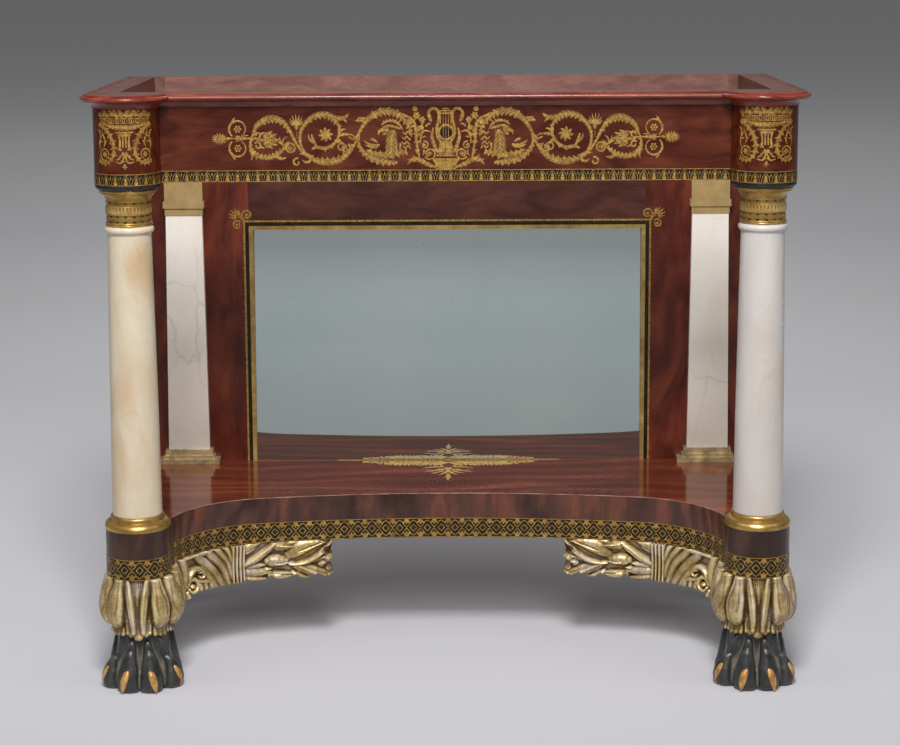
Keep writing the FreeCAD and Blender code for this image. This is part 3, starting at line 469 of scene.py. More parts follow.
dress(make_gilding("gilt metal", ((148, 112, 56), (182, 146, 80), (210, 176, 107)), 0.8, 0.3),
      *pair("capital"), *pair("column_base_ring"))
dress(make_gilding("matt gilt metal", ((157, 129, 83), (172, 143, 93), (183, 155, 105)), 0.2, 0.5),
      *pair("pilaster_capital"), *pair("leaf_knee"), *pair("leg_bracket"))
dress(make_gilding("worn gilt metal", ((130, 115, 86), (188, 167, 126), (238, 213, 162)), 0.6, 0.34),
      *pair("pilaster_base"))
dress(make_gilding("slip gilding", ((134, 104, 55), (168, 135, 74), (197, 168, 104)), 0.4, 0.36),
      *pair("mirror_slip"), "mirror_slip_top")
dress(make_rubbed("ebonised wood", (70, 5, 0.6), (0.3, (20, 19, 20)), (0.7, (40, 36, 35)), (0.3, 0.46),
                  (0.15, 0.0002), (700, 2)), *pair("abacus"), *pair("paw"), *pair("rear_foot"))

# ---- the mirror ---------------------------------------------------------------------------------
# A single plate of old silvered glass, grey and a little cloudy, with dark specks where the silver
# has gone. It stands behind gilt slips, leans back a little, and is wedged against the backboard.


def make_mirror_glass():
    material, tree, shader = new_finish("silvered glass")
    place = object_place(tree)
    clouds = cloudy(tree, place, 5, 5, 0.6)
    specks = level(tree, cloudy(tree, place, 260, 2), 0.74, 0.8)
    silver = ramp(tree, clouds, (0.3, (214, 221, 221)), (0.7, (224, 228, 226)))
    wire(tree, shader, Base_Color=mix(tree, specks, silver, (70, 62, 56)), Metallic=1.0,
         Roughness=varied(tree, clouds, 0.012, 0.03))
    return material


dress(make_mirror_glass(), "mirror_plate")

# ---- gold stencilling ---------------------------------------------------------------------------
# Bronze powder rubbed through paper stencils on tacky varnish, then sealed. Each shape is a pen
# stroke: a spine with a half width at each point, laid on the wood a hair's breadth proud.

# how far a stroke's middle rises over its edges, and how far the edges stand off the wood
RISE = 0.22
BED = 0.02
CURVE_POINTS = 5
LOBE_LEAN = 0.7
WELD = 1e-6


def stored(tree, name):
    """A value kept on the mesh's points."""
    return add(tree, "Attribute", attribute_name=name).node.outputs["Fac"]


def make_stencil_gold(name, middle, pale, metal, shine):
    """Gold shaded with pen lines; the UV map holds each stroke's run and its offset as a share of 'breadth'."""
    material, tree, shader = new_finish(name)
    rubbed = cloudy(tree, object_place(tree), 120, 5, 0.7)
    gold = ramp(tree, rubbed, (0.28, (98, 68, 26)), (0.45, middle), (0.7, pale))
    drawn = add(tree, "SeparateXYZ", {0: add(tree, "TexCoord").node.outputs["UV"]}).node.outputs
    breadth = stored(tree, "breadth")
    share = math_node(tree, "ABSOLUTE", drawn["Y"])
    offset = times(tree, share, breadth)
    slant = math_node(tree, "SUBTRACT", times(tree, drawn["X"], 0.5), times(tree, offset, 0.75))
    hatch = math_node(tree, "ABSOLUTE", math_node(tree, "SINE", slant))
    hatch = times(tree, level(tree, hatch, 0.55, 0.95), level(tree, offset, 0.5, 1.6))
    outline = times(tree, level(tree, share, 0.66, 0.92), level(tree, breadth, 1.4, 3.0))
    lines = times(tree, math_node(tree, "MAXIMUM", hatch, outline), 0.82)
    wire(tree, shader, Base_Color=mix(tree, lines, gold, (72, 42, 18)), Metallic=metal,
         Roughness=varied(tree, rubbed, 0.55, 0.38), Specular_IOR_Level=shine)
    roughened(tree, shader, rubbed, 0.2, 0.0002)
    return material


STENCIL_GOLD = make_stencil_gold("stencil gold", (146, 109, 45), (197, 157, 78), 0.3, 0.5)
SHELF_GOLD = make_stencil_gold("shelf gold", (150, 120, 46), (208, 178, 84), 0.0, 0.06)
BLACK_PAINT_AND_SHADE = make_rubbed("black paint and painted shade", (90, 4), (0.3, (20, 16, 8)), (0.7, (43, 35, 20)), (0.3, 0.42),
                          (0.1, 0.0002), Specular_IOR_Level=0.25)


def spread(widths, count):
    """Half widths shared out evenly along a stroke."""
    return list(np.interp(np.linspace(0, 1, count), np.linspace(0, 1, len(widths)), widths))


def through(*stations):
    """A smooth stroke through stations of x, height and half width."""
    line = [Vector(station) for station in stations]
    line = [2 * line[0] - line[1]] + line + [2 * line[-1] - line[-2]]
    spine = []
    for before, first, second, after in zip(line, line[1:], line[2:], line[3:]):
        lead = first + (second - before) / 6
        trail = second - (after - first) / 6
        spine += interpolate_bezier(first, lead, trail, second, CURVE_POINTS)[:-1]
    spine.append(line[-2])
    return [(point.x, point.y) for point in spine], [max(point.z, 0) for point in spine]


def coil(centre, radii, degrees, widths, count=18):
    """A stroke wound round a centre, from the first radius and direction to the last."""
    turns = np.radians(np.linspace(*degrees, count))
    reaches = np.linspace(*radii, count)
    return [(centre[0] + reach * math.cos(turn), centre[1] + reach * math.sin(turn))
            for turn, reach in zip(turns, reaches)], spread(widths, count)


def leaf(root, tip, bow, width, count=6):
    """A pointed leaf bowed to the left of its run by a share of its length."""
    root, tip = Vector((*root, 0)), Vector((*tip, 0))
    run = tip - root
    belly = Vector((-run.y, run.x, 0)) * bow * 1.3
    spine = interpolate_bezier(root, root + run * 0.33 + belly, root + run * 0.67 + belly, tip, count)
    fat = [width * math.sin(math.pi * (0.12 + 0.88 * step / (count - 1)) ** 0.75) for step in range(count)]
    return [(point.x, point.y) for point in spine], fat


def spot(centre, reach):
    steps = np.linspace(-1, 1, 7)
    return [(centre[0] + reach * step, centre[1]) for step in steps], \
           [reach * math.sqrt(max(1 - step * step, 0)) for step in steps]


def aimed(root, degrees, reach):
    """The point that lies in a direction from a root."""
    return (root[0] + reach * math.cos(math.radians(degrees)), root[1] + reach * math.sin(math.radians(degrees)))


def palmette(root, degrees, reach, fan, number, width):
    """Leaves fanned out from one root, the middle one longest."""
    leaves = []
    for step in range(number):
        side = 2 * step / (number - 1) - 1
        length = reach * (1 - 0.42 * side * side)
        leaves.append(leaf(aimed(root, degrees + side * fan, reach * 0.12),
                           aimed(root, degrees + side * fan, length), 0.22 * side, width))
    return leaves


def rosette(centre, reach, petals, width, turn=0):
    return [leaf(aimed(centre, turn + 360 * step / petals, reach * 0.15),
                 aimed(centre, turn + 360 * step / petals, reach), 0.12, width, 5)
            for step in range(petals)] + [spot(centre, reach * 0.28)]


def stretch(stroke, first, last=None):
    """The part of a stroke from one of its points to another."""
    return stroke[0][first:last], stroke[1][first:last]


def fringe(stroke, side, reach, width, every=2):
    """Acanthus lobes that spring from one side of a stroke and lean along it."""
    spine, fat = stroke
    lobes = []
    for step in range(1, len(spine) - 1, every):
        here = Vector(spine[step])
        run = (Vector(spine[step + 1]) - Vector(spine[step - 1])).normalized()
        out = Vector((-run.y, run.x)) * side
        root = here + out * fat[step] * 0.4
        tip = here + out * (fat[step] + reach) + run * reach * LOBE_LEAN
        lobes.append(leaf(root, tip, -0.18 * side, width, 5))
    return lobes


def reflected(strokes):
    return [([(-x, z) for x, z in spine], fat) for spine, fat in strokes]


def scaled(strokes, unit, middle):
    """Strokes drawn in a drawing's own units, brought to millimetres about its middle."""
    return [([(middle[0] + x * unit, middle[1] + z * unit) for x, z in spine], [width * unit for width in fat])
            for spine, fat in strokes]


def lay_stroke(shape, stroke, lay, rise):
    """A stroke as a low ridge on a surface; lay turns x, height and proudness into a place."""
    spine, fat = stroke
    count = len(spine)
    drawn = shape.loops.layers.uv.verify()
    breadth = shape.verts.layers.float.get("breadth") or shape.verts.layers.float.new("breadth")
    lengths = np.append(0, np.cumsum(np.hypot(*np.diff(np.array(spine), axis=0).T)))
    grid = bmesh.ops.create_grid(shape, x_segments=count - 1, y_segments=2, size=1)["verts"]
    for vertex in grid:
        step = round((vertex.co.x + 1) / 2 * (count - 1))
        side = round(vertex.co.y)
        ahead, behind = spine[min(step + 1, count - 1)], spine[max(step - 1, 0)]
        run = Vector((ahead[0] - behind[0], ahead[1] - behind[1])).normalized()
        width = fat[step]
        for loop in vertex.link_loops:
            loop[drawn].uv = (lengths[step], side)
        vertex[breadth] = width
        proud = BED + rise * min(width, 1) if side == 0 else BED
        vertex.co = lay(spine[step][0] - run.y * width * side, spine[step][1] + run.x * width * side, proud)


def new_piece(name, shape, material):
    """A finished piece of the table from a bmesh in metres, fixed to the table's one body."""
    mesh = bpy.data.meshes.new(name)
    shape.to_mesh(mesh)
    shape.free()
    mesh.polygons.foreach_set("use_smooth", [True] * len(mesh.polygons))
    mesh.materials.append(material)
    piece = bpy.data.objects.new(name, mesh)
    bpy.context.scene.collection.objects.link(piece)
    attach(piece, "root")
    return piece


def stencil(name, strokes, lay, material=STENCIL_GOLD, rise=RISE):
    shape = bmesh.new()
    for stroke in strokes:
        lay_stroke(shape, stroke, lay, rise)
    bmesh.ops.remove_doubles(shape, verts=shape.verts, dist=WELD)
    return new_piece(name, shape, material)


# ---- the frieze's stencil -----------------------------------------------------------------------
# A lyre among leaves, and to each side a running scroll of three turns: the first holds a crested
# bird, the second a rose, the third a bell flower. It ends in a small palmette.

FRIEZE_FACE = -175.5
FRIEZE_UNIT = 1.485
FRIEZE_MIDDLE = (0.3, 837.5)
HOLE_RISE = 0.05
STRINGS_GAP = 0.15


def on_frieze(x, z, proud):
    return Vector((x, FRIEZE_FACE - proud, z)) * MM


def over(lay, gap):
    """The same surface a little further out, for work laid over other work."""
    return lambda x, z, proud: lay(x, z, proud + gap)


def frieze_scrolls():
    """The left half, in the drawing's units from its middle."""
    stem = through((-193, 4, 1.2), (-189, 14, 2.6), (-181, 20, 3.6), (-172, 22, 3.6), (-162, 18, 2.8),
                   (-155, 8, 1.9), (-150, -2, 1.4), (-143, -12, 1.5), (-133, -19, 2.4), (-123, -22, 3.5),
                   (-110, -21, 3.6), (-99, -15, 2.4), (-91, -4, 1.3), (-86, 8, 1.6), (-79, 19, 2.7),
                   (-70, 26, 3.4), (-60, 29, 3.6), (-50, 27, 3.1), (-42, 21, 2.2), (-36, 12, 1.2), (-34, 3, 0.4))
    strokes = [stem, *fringe(stretch(stem, 6, 22), -1, 1.7, 1.3), *fringe(stretch(stem, 30, 50), 1, 2.0, 1.4),
               *fringe(stretch(stem, 58, 80), 1, 1.4, 1.3, every=3),
               *fringe(stretch(stem, 58, 80), -1, 2.2, 1.4)]
    # the end palmette, its calyx and the two small volutes
    for step in range(14):
        turn = math.radians(360 * step / 14 + 8)
        strokes.append(leaf((-226 + 3.0 * math.cos(turn), 1.8 + 1.8 * math.sin(turn)),
                            (-226 + 8.2 * math.cos(turn), 1.8 + 6.2 * math.sin(turn)), 0, 0.85, 5))
    strokes += [spot((-226, 1.8), 2.6), leaf((-219, 1.8), (-213.5, 2.4), 0, 1.3),
                through((-215, 2, 0.6), (-209, 1.8, 0.6)),
                through((-210.4, 1.8, 3.2), (-207.6, 2, 3.5), (-203.4, 2, 2.0), (-198, 2, 0.9),
                        (-190, 1.6, 0.7)),
                leaf((-203, 4), (-196, 4.6), 0.1, 0.6)]
    for side in (1, -1):
        middle = (-207.8, 1.8 + side * 9.6)
        strokes += [coil(middle, (8.8, 7.6), (side * -128, side * -420), (0.7, 1.3, 1.0, 0.6, 0.5), 24),
                    leaf((-213, 1.8 + side * 16), (-209.8, 1.8 + side * 21.5), 0.1 * side, 1.1),
                    *(spot((middle[0] + reach * 2.7, middle[1] + rise * 2.7), 1.15)
                      for reach, rise in ((1, 0), (0.5, 0.87), (-0.5, 0.87), (-1, 0), (-0.5, -0.87),
                                          (0.5, -0.87))),
                    spot(middle, 1.0)]
    # the bell flower's scroll
    lower = through((-194, 4, 0.8), (-195.5, -6, 1.5), (-192, -13, 2.4), (-184, -17, 2.4), (-175, -17, 2.6),
                    (-167, -13, 2.2), (-161, -8, 0.8))
    strokes += [lower, *fringe(lower, 1, 1.6, 1.2), leaf((-196, -9), (-195, -20), 0.2, 1.9),
                leaf((-190, -14), (-190, -20), 0.1, 1.2), leaf((-170, -15), (-159, -17), -0.2, 2.0),
                coil((-155.3, -8), (5.2, 3.6), (190, -250), (0.7, 0.9, 0.8, 0.5)), spot((-155.3, -8), 2.7)]
    for side in (1, -1):
        strokes += [coil((-188, side * 5.4), (3.8, 1.2), (side * -140, side * 220), (0.7, 1.1, 1.0)),
                    leaf((-186, side * 3), (-180, side * 8), 0.2 * side, 1.1)]
    strokes += [through((-190, 0, 0.7), (-184, 0.2, 1.9), (-179, 0.4, 1.2)),
                through((-180, 2.6, 0.7), (-180, -2.4, 0.7)), *palmette((-180, 0.4), 2, 14, 74, 7, 2.6),
                through((-178, 0.3, 1.5), (-171, 0.4, 3.4), (-168, 0.4, 1)),
                through((-168, -1.5, 0.6), (-163, -4, 1.1), (-160, -7, 0.6)),
                leaf((-163, -4), (-158, 4), 0.2, 1.0), leaf((-164, -3), (-166, 4), 0.1, 0.9),
                leaf((-161, -5), (-155, -1), 0.1, 0.8)]
    # the small palmette over the crossing
    strokes += [*palmette((-149, 16), 94, 11, 82, 9, 0.8),
                through((-149, 10, 0.5), (-149, 14, 2.6), (-149, 17, 2.0), (-149, 19, 0.6)),
                spot((-149, 7.4), 0.7), spot((-149, 5), 0.6), spot((-149, 2.8), 0.5)]
    # the rose's scroll
    ring = through((-140, -14, 0.8), (-145, -4, 1.5), (-145, 8, 1.9), (-139, 18, 2.4), (-130, 24.5, 3.0),
                   (-119, 25.5, 3.3), (-111, 21, 2.6), (-106.4, 13, 1.3), (-107, 4, 1.3), (-112, -4, 1.7),
                   (-120, -8, 2.0), (-129, -7, 1.8), (-134, -9, 0.6))
    strokes += [ring, *fringe(stretch(ring, 12, 28), -1, 1.9, 1.3),
                *fringe(stretch(ring, 30, 44), 1, 1.5, 1.2, every=3),
                through((-129, -7, 1.2), (-132.5, 0, 1.8), (-134, 6, 0.5)),
                leaf((-131, -3), (-137, 7), 0.2, 1.0), *rosette((-120, 5.4), 7.6, 8, 2.1),
                *rosette((-120, 5.4), 4.2, 6, 1.0, 30)]
    tail = through((-116, 25, 1.8), (-108, 22, 2.6), (-101, 22.5, 2.2), (-97, 26, 0.4))
    strokes += [tail, leaf((-105, 22), (-98, 17), 0.1, 1.4), leaf((-110, 20), (-107, 13), 0.1, 1.4),
                leaf((-107, 6), (-99, 11), 0.2, 1.5), leaf((-108, 4), (-95, 5), 0.1, 1.9),
                leaf((-107, 8), (-103, 15), 0.2, 1.2), leaf((-107, 1), (-100, -4), -0.2, 1.6),
                through((-97, 3, 0.6), (-92, 1, 1.3), (-88, 5, 0.5)), leaf((-96, 6), (-90, 2), 0.1, 0.8),
                coil((-100, -8), (5.0, 2.0), (60, -330), (0.7, 1.2, 1.1, 0.8)),
                coil((-104, -7), (4, 2.4), (90, 380), (0.6, 0.9, 0.6)), spot((-100, -8), 1.6),
                leaf((-134, -17), (-147, -13.5), -0.1, 1.9), leaf((-135, -20), (-144, -19), 0.3, 1.6),
                coil((-149, -22), (4.2, 1.6), (70, 400), (0.8, 1.2, 0.9, 0.5), 14)]
    return strokes


def frieze_bird():
    """The third turn: a crested bird's head and breast rising from leaves, the beak outwards."""
    lower = through((-86, 6, 0.7), (-87, -3, 1.4), (-83, -11, 2.2), (-76, -17, 3.2), (-66, -21, 3.4),
                    (-55, -22.5, 2.4), (-49, -22, 0.6))
    second = through((-79, -10, 0.8), (-70, -14.5, 2.8), (-58, -15.5, 3.4), (-47, -13, 2.4), (-39, -12, 0.5))
    strokes = [lower, second, *fringe(lower, -1, 1.5, 1.4), *fringe(second, 1, 1.8, 1.2),
               *fringe(stretch(second, 8), -1, 2.6, 1.6),
               through((-82, 19, 0.8), (-86, 20, 2.2), (-90, 19, 0.4)), leaf((-80, 22), (-88, 23), 0.1, 1.2)]
    # beak, brow, crown and neck with its collar of feathers
    strokes += [through((-57, 9.6, 3.6), (-62, 10, 2.8), (-66.4, 8.4, 1.5), (-67.2, 5, 0.3)),
                leaf((-63, 5.4), (-58, 6.4), 0, 0.9),
                through((-63, 12.6, 0.5), (-57, 14.2, 1.2), (-50, 12.6, 1.5), (-45, 11, 0.5)),
                through((-52, 10, 3.4), (-54, 3, 5.4), (-54, -4, 6.4), (-54, -10, 6.8), (-55, -13, 5))]
    for step in range(4):
        strokes.append(leaf((-57.5 + step * 4, -3), (-59 + step * 4.2, -11), 0.06, 1.3, 5))
    strokes += [through((-64, 15, 0.5), (-59, 18.4, 1.0), (-52, 18.8, 1.3), (-46, 15, 1.1), (-43, 10, 0.4)),
                *(spot((-62 + step * 3.1, 20.2 - 0.28 * (step - 2.4) ** 2), 0.8) for step in range(6)),
                leaf((-66, -5), (-82, 0), 0.16, 1.9), leaf((-68, -7), (-81, -4.4), 0.1, 1.6),
                leaf((-75, 1), (-68, -3), 0.1, 1.4)]
    for step, (x, z) in enumerate(((-43, 8), (-44, 3), (-44, -2), (-43, -6))):
        strokes.append(through((x, z, 0.5), (x + 3, z - 2.4, 0.8), (x + 5, z + 0.4, 0.8), (x + 8, z - 3, 0.7),
                               (x + 10 - step, z - 1.4, 0.3)))
    return strokes


def frieze_lyre():
    """The left half of the middle: the lyre on its leaf base and the flower stalk beside it."""
    strokes = [through((-26, -20, 0.6), (-27.5, -12, 1.2), (-29.5, 0, 1.5), (-30, 12, 1.7), (-33, 20, 1.6),
                       (-40, 24, 1.4), (-46, 27, 0.5))]
    for height, out in ((-14, 3), (-6, 4), (2, 4.5), (9, 5)):
        strokes += [leaf((-28.5, height), (-28.5 - out, height + 4), -0.25, 1.1),
                    leaf((-28.5, height), (-28.5 + out, height + 5), 0.25, 1.1)]
    for middle, reach in (((-29, 24), 4.2), ((-36, 18), 3.4), ((-23.4, 20), 3.6), ((-30.4, 31), 3.0),
                          ((-24, 12), 2.6)):
        strokes += [*rosette(middle, reach, 6, 1.4), spot(middle, 1.1)]
    strokes += [through((-28, 8, 0.8), (-24, 14, 1.0), (-22, 20, 0.5)), leaf((-32, 14), (-38, 13), 0.1, 1.2),
                leaf((-26, 4), (-19, 9), 0.2, 1.3), leaf((-20, 13), (-14, 16), 0.2, 1.2),
                coil((-21, -5.4), (4.0, 1.4), (110, -260), (0.6, 1.0, 1.0)), spot((-21, -5.4), 1.2),
                coil((-15.8, -14), (6.0, 3.4), (-150, 240), (0.6, 1.0, 0.8)), spot((-15.8, -14), 2.4),
                through((-25, -4, 0.5), (-24.6, 4, 1.0), (-21, 9, 1.0), (-15, 8, 0.4)),
                leaf((-23, 2), (-19, 3), 0.2, 0.8), leaf((-22, -10), (-24, -16), 0.2, 0.9)]
    # the lyre's arm from the ring up, out and over, and its outer contour down to the base
    strokes += [through((-5, -2.6, 1.0), (-8.4, 4, 1.5), (-8.8, 12, 1.7), (-7, 20, 1.4), (-7.2, 28, 1.6),
                        (-12, 31.5, 1.7), (-16.8, 28, 1.6), (-16, 22, 2.2), (-14, 18, 0.8)),
                through((-12.4, 12, 0.6), (-13.8, 4, 1.6), (-12.2, -3, 2.0), (-10, -9, 2.2), (-7.6, -13, 1.4)),
                through((0, 26.4, 0.6), (-5, 26.4, 0.6)), through((0, 29, 0.5), (-5, 29, 0.5)),
                through((0, 31.2, 0.8), (-3.4, 30.8, 0.5)), through((-5.4, 29.5, 0.6), (-5.4, 16, 0.6)),
                through((0, -2.2, 0.8), (-5.6, -2.2, 0.8)), through((0, -15.8, 1.0), (-9.4, -15.8, 1.0)),
                through((0, -13.6, 0.5), (-7, -13.6, 0.5)),
                *(through((-1.4 - step * 1.9, -12.6, 0.95), (-1.0 - step * 1.5, -4.6, 0.85),
                          (-1.3 - step * 1.3, -3.2, 0.5)) for step in range(4))]
    for step in range(6):
        strokes.append(through((-0.9 - step * 1.1, -28.4, 0.8), (-1.2 - step * 1.9, -22, 1.3),
                               (-1.5 - step * 2.3, -18.6, 0.9)))
    strokes += [through((0, -29.4, 0.8), (-10, -29, 0.7)),
                through((-9, -27.5, 1.4), (-18, -25, 2.2), (-26, -20.5, 2.6), (-33, -19.5, 2.2),
                        (-38.5, -24.5, 0.6)),
                leaf((-24, -20), (-34, -15), 0.1, 1.5), leaf((-16, -24), (-23, -18), 0.2, 1.3),
                leaf((-30, -21), (-39, -19), 0.1, 1.2)]
    return strokes


def frieze_strings():
    """The ring and the strings of the lyre."""
    ring = coil((1 / 3, 7.3), (7.3, 7.3), (0, 360), (1.2, 1.2), 28)
    return [ring] + [through((x, 29, 0.25), (x, 0.5, 0.25)) for x in (-2.4, 0.2, 2.8)]


FRIEZE_HALF = frieze_scrolls() + frieze_bird() + frieze_lyre()
SOUND_HOLE = through((0.3, 1.2, 2.4), (0.3, 3.9, 5.2), (0.3, 7.3, 6.3), (0.3, 10.7, 5.2), (0.3, 13.4, 2.4))
stencil("frieze_stencil", scaled(FRIEZE_HALF + reflected(FRIEZE_HALF), FRIEZE_UNIT, FRIEZE_MIDDLE), on_frieze)
stencil("lyre_sound_hole", scaled([SOUND_HOLE], FRIEZE_UNIT, FRIEZE_MIDDLE), on_frieze, BLACK_PAINT_AND_SHADE,
        HOLE_RISE)
stencil("lyre_strings", scaled(frieze_strings(), FRIEZE_UNIT, FRIEZE_MIDDLE), over(on_frieze, STRINGS_GAP))

# ---- the corner blocks' stencil -----------------------------------------------------------------
# A footed bowl heaped with fruit, held by two leafy S-scrolls that end in roses. It is laid round
# the block's front, so x is measured along the curve.

COLUMN_X = 472.5
COLUMN_Y = -178.5
CASE_RADIUS = 49
QUARTER = CASE_RADIUS * math.pi / 2
FACET_GAP = 0.12
BOWL_UNIT = 0.98
BOWL_MIDDLE = (-4, 842)


def on_right_block(x, z, proud):
    """Places on the right-hand block and plinth: x runs outwards round the curve, then back along the side."""
    reach = CASE_RADIUS + (proud + FACET_GAP)
    if x > QUARTER:
        return Vector((COLUMN_X + reach, COLUMN_Y + x - QUARTER, z)) * MM
    turn = x / CASE_RADIUS
    return Vector((COLUMN_X + reach * math.sin(turn), COLUMN_Y - reach * math.cos(turn), z)) * MM


def mirrored(lay):
    """The same surface on the table's left, its run turned round."""
    def lay_left(x, z, proud):
        there = lay(-x, z, proud)
        return Vector((-there.x, there.y, there.z))
    return lay_left


def block_bowl():
    """The left half of the ornament, in millimetres from its middle."""
    strokes = []
    for step, (x, z, reach) in enumerate(((-3, 39, 4.6), (-10, 38, 4.0), (-17, 40, 4.4), (-25, 38, 4.2),
                                          (-32, 39, 3.6), (-38, 37, 3.0), (-6, 44, 3.0), (-14, 45, 2.6),
                                          (-22, 44.5, 2.6), (-30, 44, 2.2))):
        strokes += [spot((x, z), reach), leaf((x, z + 1), (x - 4 + 3 * (step % 3), z + 7), 0.2, 1.3)]
    strokes += [leaf((-36, 38), (-44, 44), 0.2, 1.6), leaf((-38, 36), (-46, 37), -0.2, 1.4),
                through((0, 33.4, 0.8), (-41, 33.4, 0.8)), through((0, 27, 0.9), (-42, 27, 0.9)),
                *(through((-1.6 - step * 3.3, 28.4, 0.8), (-1.6 - step * 3.3, 32.2, 0.8)) for step in range(12)),
                through((0, 20, 4.6), (-12, 20.6, 4.3), (-22, 22.4, 3.0), (-32, 24.6, 1.4), (-40, 25.8, 0.6)),
                through((0, 12.6, 1.6), (-9, 12.8, 1.5), (-14, 13, 1.0)), through((0, 10, 0.6), (-10, 10, 0.5))]
    support = through((-44, 24, 0.8), (-36, 22, 2.2), (-27, 15, 3.2), (-20, 4, 3.4), (-16, -9, 3.4),
                      (-17, -21, 2.8), (-23, -30, 2.0), (-30, -34, 1.2), (-38, -33, 1.4), (-44, -30, 0.4))
    strokes += [support, *fringe(support, -1, 4.2, 1.5, every=3), *fringe(support, 1, 3.2, 1.3, every=3),
                coil((-32, -20), (9.4, 6.6), (-70, -440), (1.0, 1.4, 1.0, 0.4), 22),
                *rosette((-32, -20), 5.4, 6, 1.5),
                through((-41, -14, 0.6), (-43, -4, 1.2), (-40, 6, 1.3), (-42, 14, 1.3), (-46, 16, 0.5)),
                through((-33, -9, 0.5), (-31, 0, 1.3), (-34, 8, 1.4), (-37, 15, 0.6)),
                leaf((-40, 2), (-33, 8), 0.3, 1.3), leaf((-42, -4), (-34, -2), 0.3, 1.3),
                leaf((-31, -6), (-26, 1), 0.2, 1.2), through((-7.5, 7, 1.3), (-6.5, -3, 1.6), (-7.5, -12, 2.0)),
                through((-2.2, 7, 1.0), (-2.2, -10, 1.2)), through((-4, -13, 1.2), (-10, -13, 1.2)),
                through((0, 8, 0.9), (-10, 8, 0.9)), leaf((-2, -16), (-10, -23), 0.2, 1.6),
                leaf((-1, -18), (-6, -30), 0.2, 1.8), leaf((-6, -22), (-15, -28), 0.2, 1.5),
                through((-1, -29, 1.4), (-7, -33, 1.2), (-14, -31, 0.6)), leaf((0, -34), (-4.5, -40), 0.2, 1.4),
                leaf((0, -34), (-1, -43), 0.1, 1.5)]
    return strokes


BOWL_HALF = block_bowl()
BOWL = BOWL_HALF + reflected(BOWL_HALF) + rosette((0, -22), 4.5, 6, 1.3)
BOWL = scaled(BOWL, BOWL_UNIT, BOWL_MIDDLE)
stencil("corner_stencil_right", BOWL, on_right_block)
stencil("corner_stencil_left", reflected(BOWL), mirrored(on_right_block))

# ---- the painted borders ------------------------------------------------------------------------
# A black band along the foot of the frieze carries gilt leaf tips between two gold lines. A wider
# one on the shelf's apron and plinths carries a row of lozenges between leaves.

# the apron's plan: a wide arc in the middle and a tight hook at each end, tangent where they join
APRON_FLAT = 1608
APRON_HOOK = 161
APRON_JOIN = 304
APRON_BACK = 184
FLAT_CENTRE = COLUMN_Y + APRON_BACK - APRON_FLAT
JOIN_TURN = math.asin(APRON_JOIN / APRON_FLAT)
HOOK_CENTRE = ((APRON_FLAT - APRON_HOOK) * math.sin(JOIN_TURN),
               FLAT_CENTRE + (APRON_FLAT - APRON_HOOK) * math.cos(JOIN_TURN))
HOOK_END = math.asin(0.978)
FLAT_RUN = APRON_FLAT * JOIN_TURN
APRON_RUN = FLAT_RUN + APRON_HOOK * (HOOK_END - JOIN_TURN)
APRON_END = APRON_RUN - 2
BLOCK_START = -CASE_RADIUS * math.radians(86)
PLINTH_START = -CASE_RADIUS * math.radians(78)
STILE_FACE = 245
FRIEZE_BAND = (775.8, 793.0)
TIP_PITCH = 15.0
TIP_FOOT = 776.6
SHELF_BAND = (177.0, 208.6)
LOZENGE_PITCH = 22.4
LOZENGE_FOOT = 178.4
LOZENGE_TOP = 207.2
LINE_HALF = 0.5
GILDING_GAP = 0.06
GILDING_RISE = 0.12


def on_apron(run, z, proud):
    """Places on the shelf's concave front: run is measured along the edge from its middle."""
    proud = proud + 2 * FACET_GAP
    side = math.copysign(1, run)
    run = abs(run)
    if run < FLAT_RUN:
        turn, reach, centre = run / APRON_FLAT, APRON_FLAT - proud, (0, FLAT_CENTRE)
    else:
        turn, reach, centre = JOIN_TURN + (run - FLAT_RUN) / APRON_HOOK, APRON_HOOK - proud, HOOK_CENTRE
    return Vector((side * (centre[0] + reach * math.sin(turn)), centre[1] + reach * math.cos(turn), z)) * MM


def on_side(x, z, proud):
    """Places on the right-hand side rails: x runs back from the corner block."""
    return Vector((COLUMN_X + CASE_RADIUS + proud, x, z)) * MM


def ruled(start, end, z, half, steps=1):
    """A straight-edged stroke along a run, in enough steps to follow a curve."""
    return [(x, z) for x in np.linspace(start, end, steps + 1)], [half] * (steps + 1)


def leaf_tips(start, end):
    """The frieze's border: leaf tips under pointed arches, with a bud at each joint."""
    number = round((end - start) / TIP_PITCH)
    strokes = []
    for step in range(number):
        x = start + (step + 0.5) * (end - start) / number
        heights = [TIP_FOOT + rise for rise in (0, 4, 8.5, 12)]
        strokes.append(([(x, height) for height in heights], [4.1, 3.1, 2.0, 0]))
        for side in (-1, 1):
            arch = [(x + side * 6.4, TIP_FOOT + 0.6), (x + side * 4.8, TIP_FOOT + 8.6), (x, TIP_FOOT + 14.6)]
            strokes.append((arch, [0.3, 0.4, 0.3]))
        if step < number - 1:
            strokes.append(([(x + 7.5, TIP_FOOT + rise) for rise in (8, 10.5, 13)], [0.3, 0.9, 0.2]))
    return strokes


